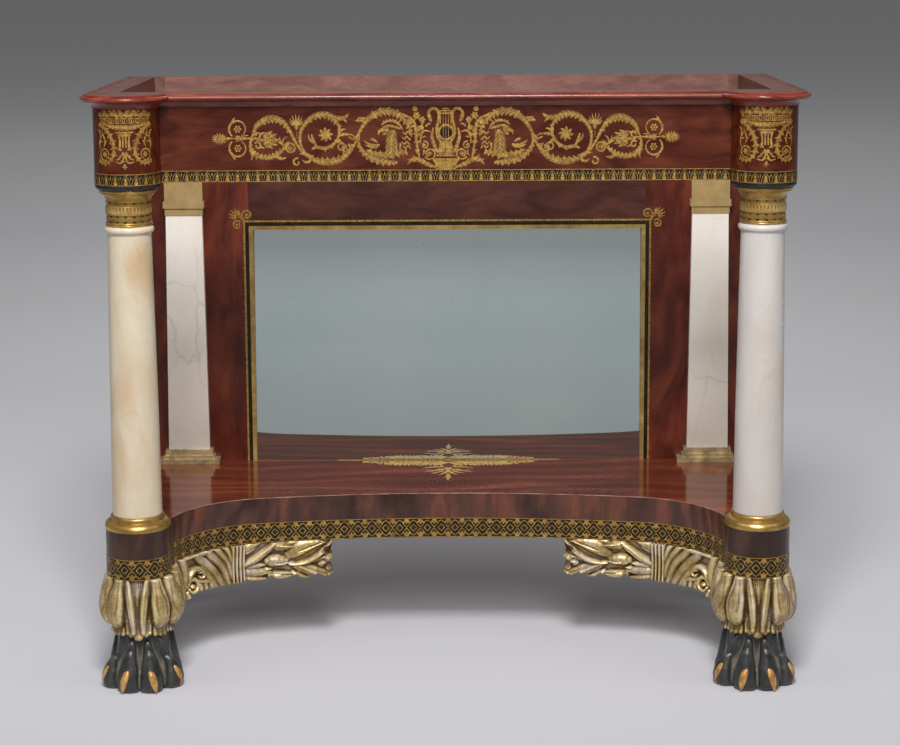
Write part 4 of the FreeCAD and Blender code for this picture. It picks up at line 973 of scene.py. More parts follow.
def lozenges(start, end):
    """The shelf's border: lozenges in larger pointed frames, with three-lobed leaves at the joints."""
    number = round((end - start) / LOZENGE_PITCH)
    half = (end - start) / number / 2
    middle = (LOZENGE_FOOT + LOZENGE_TOP) / 2
    strokes = []
    for side in (-1, 1):
        edge = middle + side * (LOZENGE_TOP - LOZENGE_FOOT) / 2
        for step in range(number):
            x = start + (2 * step + 1) * half
            outline = [(x - across, middle + side * up) for across, up in
                       ((half, 0.8), (7.4, 4.8), (3.4, 10.4), (0, 12.4))]
            outline += [(2 * x - across, up) for across, up in reversed(outline[:-1])]
            strokes += [([(x - 5.4, middle), (x, middle + side * 5.6), (x + 5.4, middle)], [0.66] * 3),
                        (outline, [0.6] * 7)]
        for joint in range(number + 1):
            x = start + 2 * joint * half
            leans = [lean for lean in (-1, 1) if start < x + lean < end]
            strokes += [leaf((x + lean, edge), (x + lean * 7.2, edge - side * 5.6), -0.25 * lean * side, 2.5)
                        for lean in leans]
            if len(leans) == 2:
                strokes.append(leaf((x, edge), (x, edge - side * 9), 0, 2.7))
    return strokes


def black_band(name, strokes, lay):
    """Flat black paint on the wood."""
    stencil(name, strokes, lay, BLACK_PAINT_AND_SHADE, 0.0)


def border(name, lay, start, end, ornament, band, steps):
    """A black band with gold lines along both edges and its row of ornament."""
    foot, top = band
    black_band(name + "_ground", [ruled(start, end, (foot + top) / 2, (top - foot) / 2, steps)], lay)
    lines = [ruled(start, end, height, LINE_HALF, steps) for height in (foot + LINE_HALF, top - LINE_HALF)]
    stencil(name + "_gilding", lines + ornament(start, end), over(lay, GILDING_GAP), rise=GILDING_RISE)


def twin_borders(name, lay, start, end, *rest):
    """A border on the right of the table, and the same on its left."""
    border("right_" + name, lay, start, end, *rest)
    border("left_" + name, mirrored(lay), -end, -start, *rest)


border("frieze_border", on_frieze, -423, 423, leaf_tips, FRIEZE_BAND, 1)
twin_borders("block_border", on_right_block, BLOCK_START, QUARTER + 34, leaf_tips, FRIEZE_BAND, 44)
twin_borders("side_border", on_side, COLUMN_Y + 35, STILE_FACE, leaf_tips, FRIEZE_BAND, 1)
border("apron_border", on_apron, -APRON_END, APRON_END, lozenges, SHELF_BAND, 90)
twin_borders("plinth_border", on_right_block, PLINTH_START, QUARTER + 44, lozenges, SHELF_BAND, 44)
twin_borders("shelf_side_border", on_side, COLUMN_Y + 45, STILE_FACE, lozenges, SHELF_BAND, 1)

# ---- paint round the mirror and on the shelf ------------------------------------------------------
# A black band and a gold line run round the mirror's opening and end at the top in small volutes
# and palmettes. Half an arabesque lies on the shelf along the foot of the glass, and a pale line is
# painted along the shelf's front edge as a highlight on its arris.

BACK_FACE = 225.5
GLASS_HALF = 334.8
GLASS_HEAD = 656.5
SHELF_TOP = 250
PAINT_FOOT = SHELF_TOP + 0.2
BAND_HALF = 3.1
LINE_OUT = 7.9
MIRROR_LINE_HALF = 1.7
ARRIS_HEIGHT = 249.6
ARRIS_HALF = 0.42


def on_back(x, z, proud):
    return Vector((x, BACK_FACE - proud, z)) * MM


def on_shelf(x, z, proud):
    """Places on the shelf: z is measured forward from the foot of the glass."""
    return Vector((-x, BACK_FACE - z, SHELF_TOP + proud)) * MM


def upright(x, top, half):
    """A straight stroke from the shelf up."""
    return [(x, PAINT_FOOT), (x, top)], [half, half]


def corner_volutes():
    """The left-hand corner, in millimetres."""
    ring = coil((-338, 675.6), (8.6, 5.0), (-125, -500), (0.9, 1.4, 1.3, 0.6), 24)
    lower = coil((-354.6, 658.6), (7.2, 4.2), (40, 400), (0.9, 1.3, 1.2, 0.5), 24)
    strokes = [ring, lower, spot((-337.6, 675.4), 3.4), spot((-354.4, 658.4), 2.8),
               through((-342.6, 664, 1.5), (-345, 667.6, 1.7), (-349, 671, 0.8)), spot((-344.6, 665.6), 2.2),
               *palmette((-354, 672.5), 135, 17, 70, 7, 1.3),
               coil((-352.6, 680), (3.2, 0.9), (-90, 240), (0.7, 0.9, 0.6), 12),
               coil((-350.6, 673.6), (3.2, 0.9), (60, -280), (0.7, 0.9, 0.6), 12)]
    return strokes


def arabesque():
    """The right half: leafy sprays along the glass, and half of a star in the middle."""
    stem = through((0, 20, 3.5), (20, 22, 3.5), (50, 20, 4), (80, 22, 3.5), (100, 18, 1.5))
    strokes = [stem, *fringe(stem, -1, 9, 4.2, every=1), *fringe(stem, 1, 15, 4.6, every=1),
               coil((46, 30), (12, 4), (-90, 260), (1.4, 2.6, 1.8)),
               coil((84, 28), (10, 3), (-90, 260), (1.4, 2.4, 1.6))]
    for root, depth in ((110, 36), (125, 29), (140, 22)):
        strokes += [leaf((root + 6, 15), (root - 8, depth), 0.2, 3.0),
                    leaf((root + 6, 13), (root - 9, depth - 12), 0.1, 2.2),
                    leaf((root + 5, 15), (root + 7, depth - 4), 0.1, 2.2)]
    strokes += [ruled(0, 190, 4, 1.1), ruled(0, 146, 9, 1.0), leaf((0, 96), (0, 142), 0, 4.2),
                leaf((1, 100), (7, 122), 0.1, 2.2), leaf((4, 52), (6, 96), 0.1, 4.4),
                through((4, 60, 3), (14, 70, 4.2), (26, 74, 3.4), (38, 68, 0.6)),
                leaf((8, 74), (30, 92), 0.14, 3.6), leaf((14, 62), (42, 84), 0.1, 2.6),
                leaf((10, 50), (44, 60), -0.12, 4), leaf((6, 82), (18, 104), 0.14, 2.8),
                coil((14, 44), (9, 3), (-60, 280), (1.2, 2.2, 1.6))]
    return strokes


for side, name in SIDES:
    black_band("mirror_band_" + name,
               [upright(side * (GLASS_HALF + BAND_HALF), GLASS_HEAD + 2 * BAND_HALF, BAND_HALF)], on_back)
black_band("mirror_band_top", [ruled(-GLASS_HALF, GLASS_HALF, GLASS_HEAD + BAND_HALF, BAND_HALF)], on_back)
LINE_END = GLASS_HALF + LINE_OUT + MIRROR_LINE_HALF
MIRROR_LINE = [ruled(-LINE_END, LINE_END, GLASS_HEAD + LINE_OUT, MIRROR_LINE_HALF)]
MIRROR_LINE += [upright(side * (GLASS_HALF + LINE_OUT), GLASS_HEAD + 8, MIRROR_LINE_HALF) for side, _ in SIDES]
VOLUTES = corner_volutes()
stencil("mirror_line", MIRROR_LINE + VOLUTES + reflected(VOLUTES), on_back)
ARABESQUE = arabesque()
stencil("shelf_arabesque", ARABESQUE + reflected(ARABESQUE), on_shelf, SHELF_GOLD)
ARRIS_HIGHLIGHT = make_rubbed("painted arris highlight", (45, 4), (0.35, (132, 92, 78)), (0.65, (196, 164, 150)), (0.25, 0.45),
                         (0.1, 0.0002))
# a painted highlight: a pale line along the shelf's top front edge
stencil("shelf_arris", [ruled(-APRON_END, APRON_END, ARRIS_HEIGHT, ARRIS_HALF, 110)], on_apron, ARRIS_HIGHLIGHT)

# ---- the carved knees ---------------------------------------------------------------------------
# Each front leg swells into a carved acanthus knee: a fluted middle panel between two ribs, big
# lobes round the sides that roll over at their tips, and a scalloped skirt above the paw. The
# carving is pine with gesso and water gilding, grey where gesso shows; its colour is brighter on
# the ridges and darker in the crevices, partly rubbed gilding and dirt, partly painted highlight and shade.

KNEE_X = 469.5
KNEE_Y = -175.45
KNEE_TOP = 176.4
KNEE_MEAN = 58
KNEE_COLUMNS = 364
KNEE_ROWS = 180
KNEE_LIMIT = 66.8
KNEE_RELIEF = 3.4
KNEE_PROFILE = ((76, 47), (84, 47), (90, 45.5), (97, 45.5), (103, 47.5), (110, 50), (120, 52), (132, 53),
                (144, 52.5), (154, 50.5), (164, 47.5), (177, 45.5))
# the radius and height of the rings that close the foot and the top
KNEE_RINGS = ((0, 0.0, 90.5), (1, 36.0, 90.5), (2, 44.0, 88.0), (KNEE_ROWS - 1, 38.0, KNEE_TOP),
              (KNEE_ROWS, 0.0, KNEE_TOP))
SKIRT_HEIGHT = 92.5
# each scallop's middle, half width and lowest height
SCALLOPS = ((0, 9.5, 82.0), (14.5, 5.2, 86.5), (22, 3.6, 88.5), (32, 5.4, 86.5), (42, 5.2, 85.0),
            (52, 5.2, 85.0), (61, 4.4, 87.0), (72, 5.4, 86.5), (82, 5.2, 85.0), (92, 5.2, 85.0),
            (101, 4.4, 87.0), (112, 5.4, 86.5), (122, 5.2, 85.0), (132, 5.2, 85.0), (141, 4.4, 87.0),
            (152, 5.4, 86.5), (162, 5.2, 85.0), (172, 5.2, 85.0), (181, 4.4, 87.0))
# how far round from the front the clefts between the lobes lie
CLEFTS = (26.5, 66.5, 106.5, 146.5)
SCRAPED = 2
SURROUNDINGS = 40


def make_worn_gilding_with_painted_shade():
    """Gilding whose 'relief' attribute runs from 0 in the crevices to 1 on the ridges; dark in the crevices and
    bright on the ridges, partly dirt and rubbed gilding, partly painted shade and highlight.
    """
    material, tree, shader = new_finish("worn water gilding with painted shade and highlight")
    place = object_place(tree)
    patches = cloudy(tree, place, 30, 6, 0.65)
    specks = cloudy(tree, place, 260, 4, 0.7)
    height = plus(tree, stored(tree, "relief"), varied(tree, patches, -0.14, 0.14))
    height = plus(tree, height, varied(tree, specks, -0.1, 0.1))
    # partly dirt and rubbing, partly painted shade and highlight: dark brown in the crevices, near white on the
    # ridges
    gold = ramp(tree, height, (0.1, (78, 60, 36)), (0.34, (122, 98, 58)), (0.58, (164, 138, 86)),
                (0.9, (226, 204, 152)))
    gesso = ramp(tree, height, (0.12, (84, 72, 62)), (0.5, (134, 118, 104)), (0.9, (214, 198, 180)))
    bare = level(tree, cloudy(tree, place, 26, 6, 0.62), 0.47, 0.64, 0, 0.8)
    wire(tree, shader, Base_Color=mix(tree, bare, gold, gesso), Metallic=level(tree, bare, 0, 0.7, 0.6, 0.1),
         Roughness=level(tree, height, 0.3, 0.9, 0.6, 0.3))
    roughened(tree, shader, plus(tree, specks, patches), 0.35, 0.0007)
    return material


WORN_GILT_WITH_PAINTED_SHADE = make_worn_gilding_with_painted_shade()


def carve(field, across, up, stroke, rise):
    """Raises a height field along a stroke as a rounded ridge, or cuts a groove if the rise is negative."""
    spine, fat = np.array(stroke[0]), np.maximum(stroke[1], 0.1)
    low, high = spine.min(axis=0) - fat.max(), spine.max(axis=0) + fat.max()
    near = (across > low[0]) & (across < high[0]) & (up > low[1]) & (up < high[1])
    if not near.any():
        return
    x, z = across[near], up[near]
    ridge = np.zeros(x.shape)
    for first, second, thin, thick in zip(spine, spine[1:], fat, fat[1:]):
        run = second - first
        share = np.clip(((x - first[0]) * run[0] + (z - first[1]) * run[1]) / max(run @ run, 1e-9), 0, 1)
        width = thin + share * (thick - thin)
        gap = np.hypot(x - first[0] - share * run[0], z - first[1] - share * run[1]) / width
        dome = np.sqrt(np.clip(1 - gap ** 2, 0, 1))
        ridge = np.maximum(ridge, dome * (width / fat.max()) ** 0.5)
    field[near] = np.maximum(field[near], rise * ridge) if rise > 0 else field[near] + rise * ridge


def both_sides(cuts):
    return cuts + [(reflected([stroke])[0], rise) for stroke, rise in cuts]


def carved_field(across, up, cuts, columns):
    """Ridges first, then grooves, and the whole eased as a carver's scraper leaves it."""
    field = np.zeros(across.shape)
    for stroke, rise in sorted(cuts, key=lambda cut: cut[1] < 0):
        carve(field, across, up, stroke, rise)
    return softened(field.reshape(-1, columns + 1), SCRAPED).ravel()


def softened(sheet, passes):
    """A sheet of heights averaged with its neighbours."""
    for _ in range(passes):
        sheet = (4 * sheet + sum(np.roll(sheet, *turn) for turn in ((1, 0), (-1, 0), (1, 1), (-1, 1)))) / 8
    return sheet


def wear_and_painted_shade(field, columns, depth):
    """How far each point stands out from its surroundings, 0 in a crevice and 1 on a ridge; the finishes use it
    for wear and dust, and for painted shade and highlight.
    """
    sheet = field.reshape(-1, columns + 1)
    return np.clip(0.5 + (sheet - softened(sheet, SURROUNDINGS)) / depth, 0, 1).ravel()


def grid_shares(columns, rows):
    """The column and row of each vertex of a bmesh grid, in the order the operator makes them."""
    row, column = np.mgrid[0:rows + 1, 0:columns + 1]
    return column.ravel().astype(float), row.ravel().astype(float)


def carved(name, columns, rows, form, side, material):
    """A closed piece: a grid rolled to a form's x, y, z, with its relief values for wear and painted shade,
    mirrored for the left side.
    """
    x, y, z, relief = form
    shape = bmesh.new()
    bmesh.ops.create_grid(shape, x_segments=columns, y_segments=rows, size=0.5)
    mesh = bpy.data.meshes.new(name)
    shape.to_mesh(mesh)
    shape.free()
    mesh.vertices.foreach_set("co", (np.column_stack((side * x, y, z)) * MM).ravel())
    mesh.attributes.new("relief", "FLOAT", "POINT").data.foreach_set("value", relief)
    shape = bmesh.new()
    shape.from_mesh(mesh)
    bpy.data.meshes.remove(mesh)
    bmesh.ops.remove_doubles(shape, verts=shape.verts, dist=WELD)
    bmesh.ops.recalc_face_normals(shape, faces=shape.faces)
    return new_piece(name, shape, material)


def knee_cuts():
    """Ridges and grooves: distance round from the front, height and half width; how proud."""
    cuts = [(through((20, 182, 6), (15.5, 162, 7), (11.5, 145, 7), (9.4, 125, 6.4), (8.6, 108, 6), (9, 94, 5)),
             6.2),
            (through((17.4, 182, 2.4), (12.4, 160, 2.8), (9, 140, 2.8), (7.2, 120, 2.4), (6.8, 102, 1.8)), 7.8),
            (through((24.5, 168, 0.8), (21.5, 150, 1.6), (19.6, 134, 2.0), (18.6, 120, 1.2)), -2.6),
            (through((5.2, 182, 1.7), (2.8, 158, 1.2), (1, 138, 0.6)), 2.0),
            (through((10.4, 182, 1.7), (6.4, 160, 1.1), (4, 146, 0.5)), 2.6)]
    for start, lean, half in ((34, 5, 16), (63, 9, 18), (96, 8, 18), (128, 6, 17.5), (160, 4, 17.5)):
        cuts += [(through((start - 2, 188, half * 0.6), (start, 166, half * 0.76),
                          (start + lean * 0.5, 148, half * 0.94), (start + lean, 130, half),
                          (start + lean * 1.1, 114, half * 0.94)),
                  13.6),
                 (through((start + 3, 180, 0.8), (start + half * 0.3, 160, 1.5),
                          (start + lean * 0.7 + half * 0.4, 142, 1.7), (start + lean + half * 0.36, 124, 1.4)),
                  -1.6),
                 (through((start - 4, 178, 0.8), (start - half * 0.28, 158, 1.3), (start - half * 0.3, 140, 1.5),
                          (start + lean - half * 0.42, 124, 1.2)),
                  -1.2)]
    return both_sides(cuts) + [(through((0, 182, 1.8), (0, 158, 1.5), (0, 138, 0.8)), 2.2)]


def skirt_cuts():
    """The skirt's leaf ends, each a soft rib that runs down to a scallop and lifts at its tip."""
    cuts = []
    for middle, half, low in SCALLOPS:
        block = middle - middle % 40 + 26 if middle > 26 else 8
        root = middle + (block - middle) * 0.12
        cuts += [(through((root, 112, half * 0.8), (middle, 98, half * 0.98), (middle, low + 3, half)), 1.7),
                 (spot((middle, low + 3.5), half * 0.86), 2.8)]
    for cleft in CLEFTS:
        cuts.append((through((cleft, 112, 1.0), (cleft, 100, 2.2), (cleft, 86, 2.6)), -3.2))
    return both_sides(cuts)


def knee_form():
    column, row = grid_shares(KNEE_COLUMNS, KNEE_ROWS)
    turn = (column / KNEE_COLUMNS - 0.5) * 2 * math.pi
    around = turn * KNEE_MEAN
    foot = np.full(around.shape, SKIRT_HEIGHT)
    for middle, half, low in SCALLOPS:
        share = np.clip(1 - ((np.abs(around) - middle) / (half * 1.04)) ** 2, 0, 1)
        foot = np.minimum(foot, SKIRT_HEIGHT - (SKIRT_HEIGHT - low) * share ** 0.5)
    z = foot + (KNEE_TOP - foot) * np.clip((row - 3) / (KNEE_ROWS - 5), 0, 1)
    field = carved_field(around, z, knee_cuts() + skirt_cuts(), KNEE_COLUMNS)
    radius = np.minimum(np.interp(z, *np.array(KNEE_PROFILE).T) + field, KNEE_LIMIT)
    for ring, reach, height in KNEE_RINGS:
        radius = np.where(row == ring, reach, radius)
        z = np.where(row == ring, height, z)
    x, y = KNEE_X + radius * np.sin(turn), KNEE_Y - radius * np.cos(turn)
    return x, y, z, wear_and_painted_shade(field, KNEE_COLUMNS, KNEE_RELIEF)


KNEE_FORM = knee_form()
for side, name in SIDES:
    knee = carved("carved_knee_" + name, KNEE_COLUMNS, KNEE_ROWS, KNEE_FORM, side, WORN_GILT_WITH_PAINTED_SHADE)
    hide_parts("leaf_knee_" + name)

# ---- the carved brackets ------------------------------------------------------------------------
# Behind each knee a gilt bracket follows the shelf's curve: curling strands and a volute against
# the knee, a twisted stretch bound by cords, a calyx with husks, and a splayed leaf at the end.

BRACKET_TOP = 176.4
BRACKET_START = 184.0
BRACKET_END = 486.0
BRACKET_FACE = -3.0
BRACKET_EDGE = -14.0
BRACKET_BACK = -33.5
BRACKET_END_HEIGHT = 145.0
BRACKET_COLUMNS = 430
BRACKET_ROWS = 150
BRACKET_RELIEF = 5.4
# where the front, the top, the back and the underside start in a turn round the bracket, and how long each is
BRACKET_TURN = ((0, 0.74), (0.74, 0.06), (0.80, 0.13), (0.93, 0.07))
# the lower edge's height by run, and where the curling leaf at the far end starts by height
BRACKET_FOOT = ((183, 119), (190, 114), (199, 114), (206, 117), (212, 120), (218, 114), (227, 112), (238, 113),
                (247, 119), (253, 114), (265, 112), (278, 112.5), (288, 119), (294, 113), (306, 112), (320, 112),
                (328, 114), (334, 111.5), (352, 110.5), (378, 109), (384, 110.5), (390, 108.5), (398, 110.5),
                (404, 108.4), (411, 110.6), (419, 108.2), (426, 109), (432, 104.5), (446, 102.6), (460, 101.8),
                (490, 101.6))
BRACKET_TIPS = ((108, 200), (113, 192), (119, 186), (125, 187), (130, 196), (135, 200), (140, 189), (146, 185),
                (152, 190), (158, 201), (163, 199), (169, 187), (178, 184))


def bracket_cuts():
    """Ridges and grooves by run along the shelf's edge and height; how proud."""
    fan = [(leaf((258, 154), (196, 171), -0.1, 13, 9), 8.5),
           (through((257, 140, 3.6), (244, 139.5, 4.6), (226, 143.5, 5.4), (208, 154.5, 5.2), (192, 168.5, 4.4),
                    (183, 178, 3)),
            14),
           (through((256, 141, 3), (240, 134.5, 4.4), (220, 125.5, 5), (200, 117.5, 4.4)), 12.6),
           (leaf((250, 138), (190, 122), 0.04, 10), 9), (leaf((236, 141), (186, 150), 0, 5), 8),
           (spot((192, 145), 7), 10), (spot((203, 137.5), 6.6), 9.4), (spot((190, 130), 6.4), 10.5),
           (spot((191, 119), 5.6), 9.5), (leaf((252, 125), (222, 112.5), 0.1, 7), 10.5),
           (leaf((262, 172), (232, 181), 0, 5), 7),
           (through((246, 158, 1), (228, 165, 2.6), (206, 172, 2)), -2.2)]
    husks = [(leaf((284, 170), (247, 168), 0, 8.4), 12),
             (through((277, 171.5, 2), (262, 170, 2.6), (250, 168, 1.4)), 13.8),
             (leaf((292, 146), (256, 146), 0, 11), 12.6),
             (through((287, 142.5, 1.6), (272, 141, 2.4), (260, 142.5, 1.4)), 14.2),
             (leaf((288, 121), (249, 120.5), 0, 9), 12.2),
             (through((284, 127, 1.2), (268, 126.5, 2.0), (255, 124.5, 1)), 14),
             (leaf((298, 133), (284, 132), 0, 3.4), 9)]
    calyx = [(through((333, 141, 5), (314, 150, 7.4), (298, 161, 7), (285, 170.5, 5.4), (276, 179, 3)), 14),
             (leaf((330, 138), (292, 140), 0, 7), 10), (leaf((334, 130), (282, 127), 0, 9.5), 11.2),
             (leaf((334, 121), (280, 114.5), 0.06, 8.5), 11), (leaf((333, 161), (296, 180), -0.1, 10), 9.5),
             (through((329, 163, 1), (314, 169, 1.8), (303, 176, 1)), -1.8)]
    cords = [(through((place, 181, 3.0), (place + 2, 145, 3.2), (place + 0.6, 106, 3.0)), 13.4)
             for place in (331, 336.8, 343, 349.4)]
    twist = [(through((426, 183, 6), (409, 164, 8), (385, 140, 8.6), (364, 108, 7)), 10.6),
             (through((402, 181, 6), (386, 163, 7.6), (370, 146, 7.6), (356, 110, 6)), 11.8),
             (through((386, 183, 5), (373, 168, 6.4), (360, 150, 6.2), (353, 124, 4.6)), 12.2),
             (through((368, 183, 5), (359, 168, 5.4), (353, 150, 4)), 12.4),
             (through((408, 150, 5), (394, 134, 7.4), (380, 112, 6)), 9.6),
             (through((450, 173, 4), (426, 175, 5.6), (400, 173, 5), (378, 179, 3)), 9.6)]
    volute = [(coil((431, 126), (12, 9), (20, 340), (3, 4.6, 4.6, 3.4), 22), 12.4),
              (spot((431.5, 125.5), 5.2), 11), (coil((431, 126), (6.4, 6.4), (0, 360), (1.3, 1.3), 20), -6),
              (through((444, 128, 3.4), (437, 144, 5.2), (427, 151, 5.6), (413, 149.5, 4.8), (402, 138, 3.2)),
               12.4),
              (coil((410, 138), (7, 2.4), (60, 330), (2.8, 3.2, 2.2), 14), 10),
              (through((424, 131, 3), (405, 128, 4.4), (384, 124, 3)), 10.6)]
    frill = [(leaf((top, 128), (tip, 107), 0.1, 6.2), 10.6)
             for top, tip in ((425, 417), (414, 405), (403, 394), (392, 382))]
    strands = [(through((484, 181, 8), (470, 155, 10), (462, 130, 10), (456, 100, 8)), 11.6),
               (through((476, 176, 1.4), (463, 150, 2), (456, 126, 1.6)), -2.4),
               (through((458, 181, 6), (450, 164, 8), (446, 146, 7), (450, 126, 5)), 10.6),
               (through((443, 118, 3.6), (439, 108, 5), (446, 101, 3.4)), 10)]
    return fan + husks + calyx + cords + twist + volute + frill + strands


def bracket_form():
    column, row = grid_shares(BRACKET_COLUMNS, BRACKET_ROWS)
    run = BRACKET_START + (BRACKET_END - BRACKET_START) * np.clip((column - 1) / (BRACKET_COLUMNS - 2), 0, 1)
    foot = np.interp(run, *np.array(BRACKET_FOOT).T)
    front, over_top, down, under = (np.clip((row / BRACKET_ROWS - first) / length, 0, 1)
                                    for first, length in BRACKET_TURN)
    z = foot + (BRACKET_TOP - foot) * (front - down)
    field = carved_field(run, z, bracket_cuts(), BRACKET_COLUMNS)
    start = np.interp(z, *np.array(BRACKET_TIPS).T)
    run = np.where(column == 0, BRACKET_START + 10, np.maximum(run, start))
    edge = np.sqrt(np.clip((run - start) / 8 + 0.1, 0, 1) * np.clip((z - foot) / 6 + 0.1, 0, 1))
    proud = (BRACKET_FACE + field) * edge + BRACKET_EDGE * (1 - edge)
    proud = proud + (BRACKET_BACK - proud) * (over_top - under)
    ends = (column == 0) | (column == BRACKET_COLUMNS)
    z = np.where(ends, BRACKET_END_HEIGHT, z)
    hooked = run > FLAT_RUN
    turn = np.where(hooked, JOIN_TURN + (run - FLAT_RUN) / APRON_HOOK, run / APRON_FLAT)
    reach = np.where(hooked, APRON_HOOK, APRON_FLAT) - np.where(ends, BRACKET_EDGE, proud)
    x = np.where(hooked, HOOK_CENTRE[0], 0) + reach * np.sin(turn)
    y = np.where(hooked, HOOK_CENTRE[1], FLAT_CENTRE) + reach * np.cos(turn)
    for values in (x, y, z):
        values[row == BRACKET_ROWS] = values[row == 0]
    return x, y, z, wear_and_painted_shade(field * (over_top == 0), BRACKET_COLUMNS, BRACKET_RELIEF) + 0.08


BRACKET_FORM = bracket_form()
for side, name in SIDES:
    bracket = carved("carved_bracket_" + name, BRACKET_COLUMNS, BRACKET_ROWS, BRACKET_FORM, side, WORN_GILT_WITH_PAINTED_SHADE)
    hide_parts("leg_bracket_" + name)

# ---- the paws -----------------------------------------------------------------------------------
# Ebonised lion's paws: four toes with tendons running up to the ankle, and a gilt claw on each toe.
# The black is rubbed to charcoal, palest in the grooves where dust has settled.

PAW_TOP = 90.0
PAW_COLUMNS = 260
PAW_ROWS = 100
PAW_REACH = 64.8
PAW_UNDERCUT = 9
PAW_RELIEF = 5.0
PAW_PROFILE = ((0, 43), (6, 45.5), (16, 47), (28, 46), (40, 43), (52, 40.5), (64, 39), (76, 38.5), (90, 38))
# how far round from the front each claw sits, and how far its tip leans outwards
CLAWS = ((-66, -8), (-21.5, -7), (21.5, 7), (66, 8))
CLAW_MIDDLE = 19.5
CLAW_LENGTH = 18.5
CLAW_HALF = 7.0
CLAW_DEPTH = 4.6
CLAW_REACH = ((-1, 62.4), (-0.5, 63.4), (0, 63.0), (0.5, 60.8), (1, 56.4))


def make_paw_black():
    material, tree, shader = new_finish("rubbed ebonising")
    relief = stored(tree, "relief")
    rubbed = cloudy(tree, object_place(tree), 60, 6, 0.65)
    black = ramp(tree, rubbed, (0.3, (28, 29, 30)), (0.7, (54, 53, 52)))
    black = mix(tree, level(tree, relief, 0.36, 0.12, 0, 0.55), black, (128, 120, 104))
    black = mix(tree, level(tree, relief, 0.66, 0.95, 0, 0.3), black, (118, 114, 108))
    wire(tree, shader, Base_Color=black, Roughness=varied(tree, rubbed, 0.26, 0.42))
    roughened(tree, shader, rubbed, 0.25, 0.0006)
    return material


def toe_cuts():
    """Two toes in front with high knuckles, one out to each side, and the low heel behind."""
    cuts = [(through((21.5, -8, 20.5), (21.5, 10, 22), (21.5, 26, 21), (21, 42, 17), (19.5, 54, 13)), 16.5),
            (through((20.4, 38, 15), (19, 55, 13), (17.5, 70, 9.5)), 9),
            (through((69, -8, 21), (69, 9, 23), (68, 21, 21), (65, 33, 15.5), (61, 44, 10)), 19.5),
            (through((61, 38, 10.5), (55, 56, 9), (50, 74, 7)), 5.5),
            (through((106, -8, 16), (106, 10, 17), (104, 30, 14), (101, 46, 9)), 12),
            (through((140, -8, 17), (140, 14, 18), (138, 34, 15), (136, 50, 10)), 11),
            (through((104, 34, 17), (106, 52, 18), (110, 70, 14)), 11),
            (through((154, 40, 17), (155, 72, 13)), 9)]
    for cleft, upper in ((45, 36), (92, 78), (123, 110)):
        cuts.append((through((cleft, 2, 1.3), (cleft - 1, 30, 1.3), (upper, 74, 0.9)), -1.7))
    return both_sides(cuts) + [(through((180, -8, 18), (180, 16, 18), (180, 52, 14)), 11),
                               (through((-180, -8, 18), (-180, 16, 18), (-180, 52, 14)), 11),
                               (through((0, 2, 1.6), (0, 40, 1.6), (0, 76, 1)), -2.0)]


def paw_form():
    column, row = grid_shares(PAW_COLUMNS, PAW_ROWS)
    turn = (column / PAW_COLUMNS - 0.5) * 2 * math.pi
    z = PAW_TOP * np.clip((row - 1) / (PAW_ROWS - 2), 0, 1)
    field = carved_field(turn * KNEE_MEAN, z, toe_cuts(), PAW_COLUMNS)
    underside = np.sqrt(np.clip(z / PAW_UNDERCUT + 0.25, 0, 1))
    radius = np.interp(z, *np.array(PAW_PROFILE).T) + field - PAW_UNDERCUT * (1 - underside)
    radius = np.where((row == 0) | (row == PAW_ROWS), 0.0, radius)
    x = KNEE_X + np.clip(radius * np.sin(turn), -PAW_REACH, PAW_REACH)
    return x, KNEE_Y - radius * np.cos(turn), z, wear_and_painted_shade(field, PAW_COLUMNS, PAW_RELIEF)


def claw(shape, around, lean):
    """A tapering horn bowed out over a toe and down to the floor."""
    before = set(shape.verts)
    bmesh.ops.create_uvsphere(shape, u_segments=20, v_segments=16, radius=1)
    turn = around / KNEE_MEAN
    reaches = np.array(CLAW_REACH).T
    for vertex in set(shape.verts) - before:
        side, out, down = vertex.co
        taper = 0.82 + 0.28 * down
        across = side * CLAW_HALF * taper - lean * down * 0.5
        reach = np.interp(down, *reaches) - out * CLAW_DEPTH * taper
        vertex.co = Vector((KNEE_X + reach * math.sin(turn) + across * math.cos(turn),
                            KNEE_Y - reach * math.cos(turn) + across * math.sin(turn),
                            CLAW_MIDDLE + down * CLAW_LENGTH)) * MM


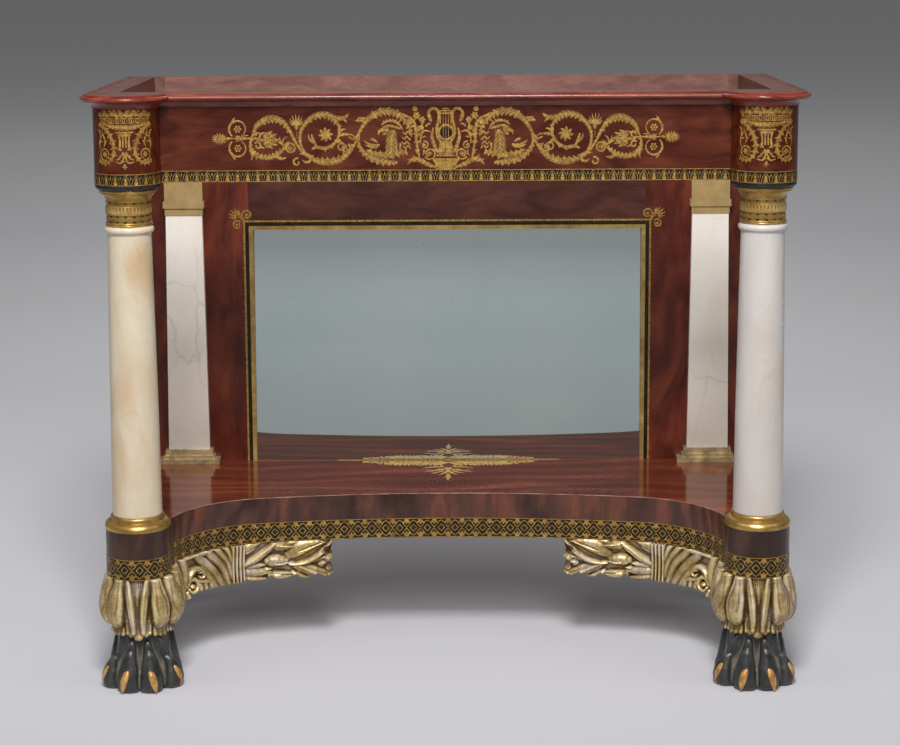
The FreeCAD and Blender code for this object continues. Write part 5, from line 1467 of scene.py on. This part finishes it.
PAW_BLACK = make_paw_black()
CLAW_GILT = make_gilding("rubbed gilt claws", ((134, 92, 46), (186, 138, 76), (220, 176, 112)), 0.35, 0.34, 90)
PAW_FORM = paw_form()
for side, name in SIDES:
    paw = carved("carved_paw_" + name, PAW_COLUMNS, PAW_ROWS, PAW_FORM, side, PAW_BLACK)
    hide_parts("paw_" + name)
    shape = bmesh.new()
    for around, lean in CLAWS:
        claw(shape, around, lean)
    bmesh.ops.scale(shape, vec=(side, 1, 1), verts=shape.verts)
    bmesh.ops.recalc_face_normals(shape, faces=shape.faces)
    new_piece("claws_" + name, shape, CLAW_GILT)

# ---- the capitals' chased work --------------------------------------------------------------------
# A band of upright leaves is chased round each gilt capital between rows of dark slots. The leaves
# are raised in the metal and burnished; the slots are flat black marks laid on the metal, painted
# shade for the dark of sunk slots.

CAPITAL_LEAVES = 38
CAPITAL_BAND = (731.2, 742.2)
CAPITAL_RADIUS = 33.75
# the height and radius of each row of slots
SLOT_ROWS = ((748.4, 34.15), (727.8, 32.6), (720.2, 33.7))
SLOTS = 16
SLOT_HALF = 2.1
SLOT_HALF_HEIGHT = 0.8
CHASED_RISE = 0.7


def round_column(side, radius):
    """Places round a column's axis, for a stroke whose run is measured on that radius."""
    def lay(run, z, proud):
        turn = run / radius
        reach = radius + proud
        return Vector((side * COLUMN_X + reach * math.sin(turn), COLUMN_Y - reach * math.cos(turn), z)) * MM
    return lay


def chased_leaves():
    whole = 2 * math.pi * CAPITAL_RADIUS
    pitch = whole / CAPITAL_LEAVES
    low, high = CAPITAL_BAND
    strokes = []
    for step in range(CAPITAL_LEAVES):
        run = step * pitch
        strokes += [leaf((run, low + 0.4), (run, high), 0, 1.9, 5),
                    leaf((run, low + 4), (run - 1.9, high - 0.6), -0.2, 0.9, 4),
                    leaf((run + pitch / 2, low + 0.6), (run + pitch / 2, low + 6), 0, 0.8, 4)]
    return strokes + [ruled(0, whole, height, 0.35, 64) for height in (low, high + 0.3)]


BRIGHT_GILT = make_gilding("burnished gilt metal", ((150, 114, 58), (192, 156, 92), (220, 188, 126)), 0.5, 0.34)
for side, name in SIDES:
    stencil("capital_leaves_" + name, chased_leaves(), round_column(side, CAPITAL_RADIUS), BRIGHT_GILT,
            CHASED_RISE)
    shape = bmesh.new()
    for height, radius in SLOT_ROWS:
        for step in range(SLOTS):
            middle = 2 * math.pi * radius * step / SLOTS
            slot = ruled(middle - SLOT_HALF, middle + SLOT_HALF, height, SLOT_HALF_HEIGHT, 3)
            lay_stroke(shape, slot, round_column(side, radius), 0.0)
    # painted shade: each slot is a flat black mark on the metal
    new_piece("capital_slots_" + name, shape, BLACK_PAINT_AND_SHADE)
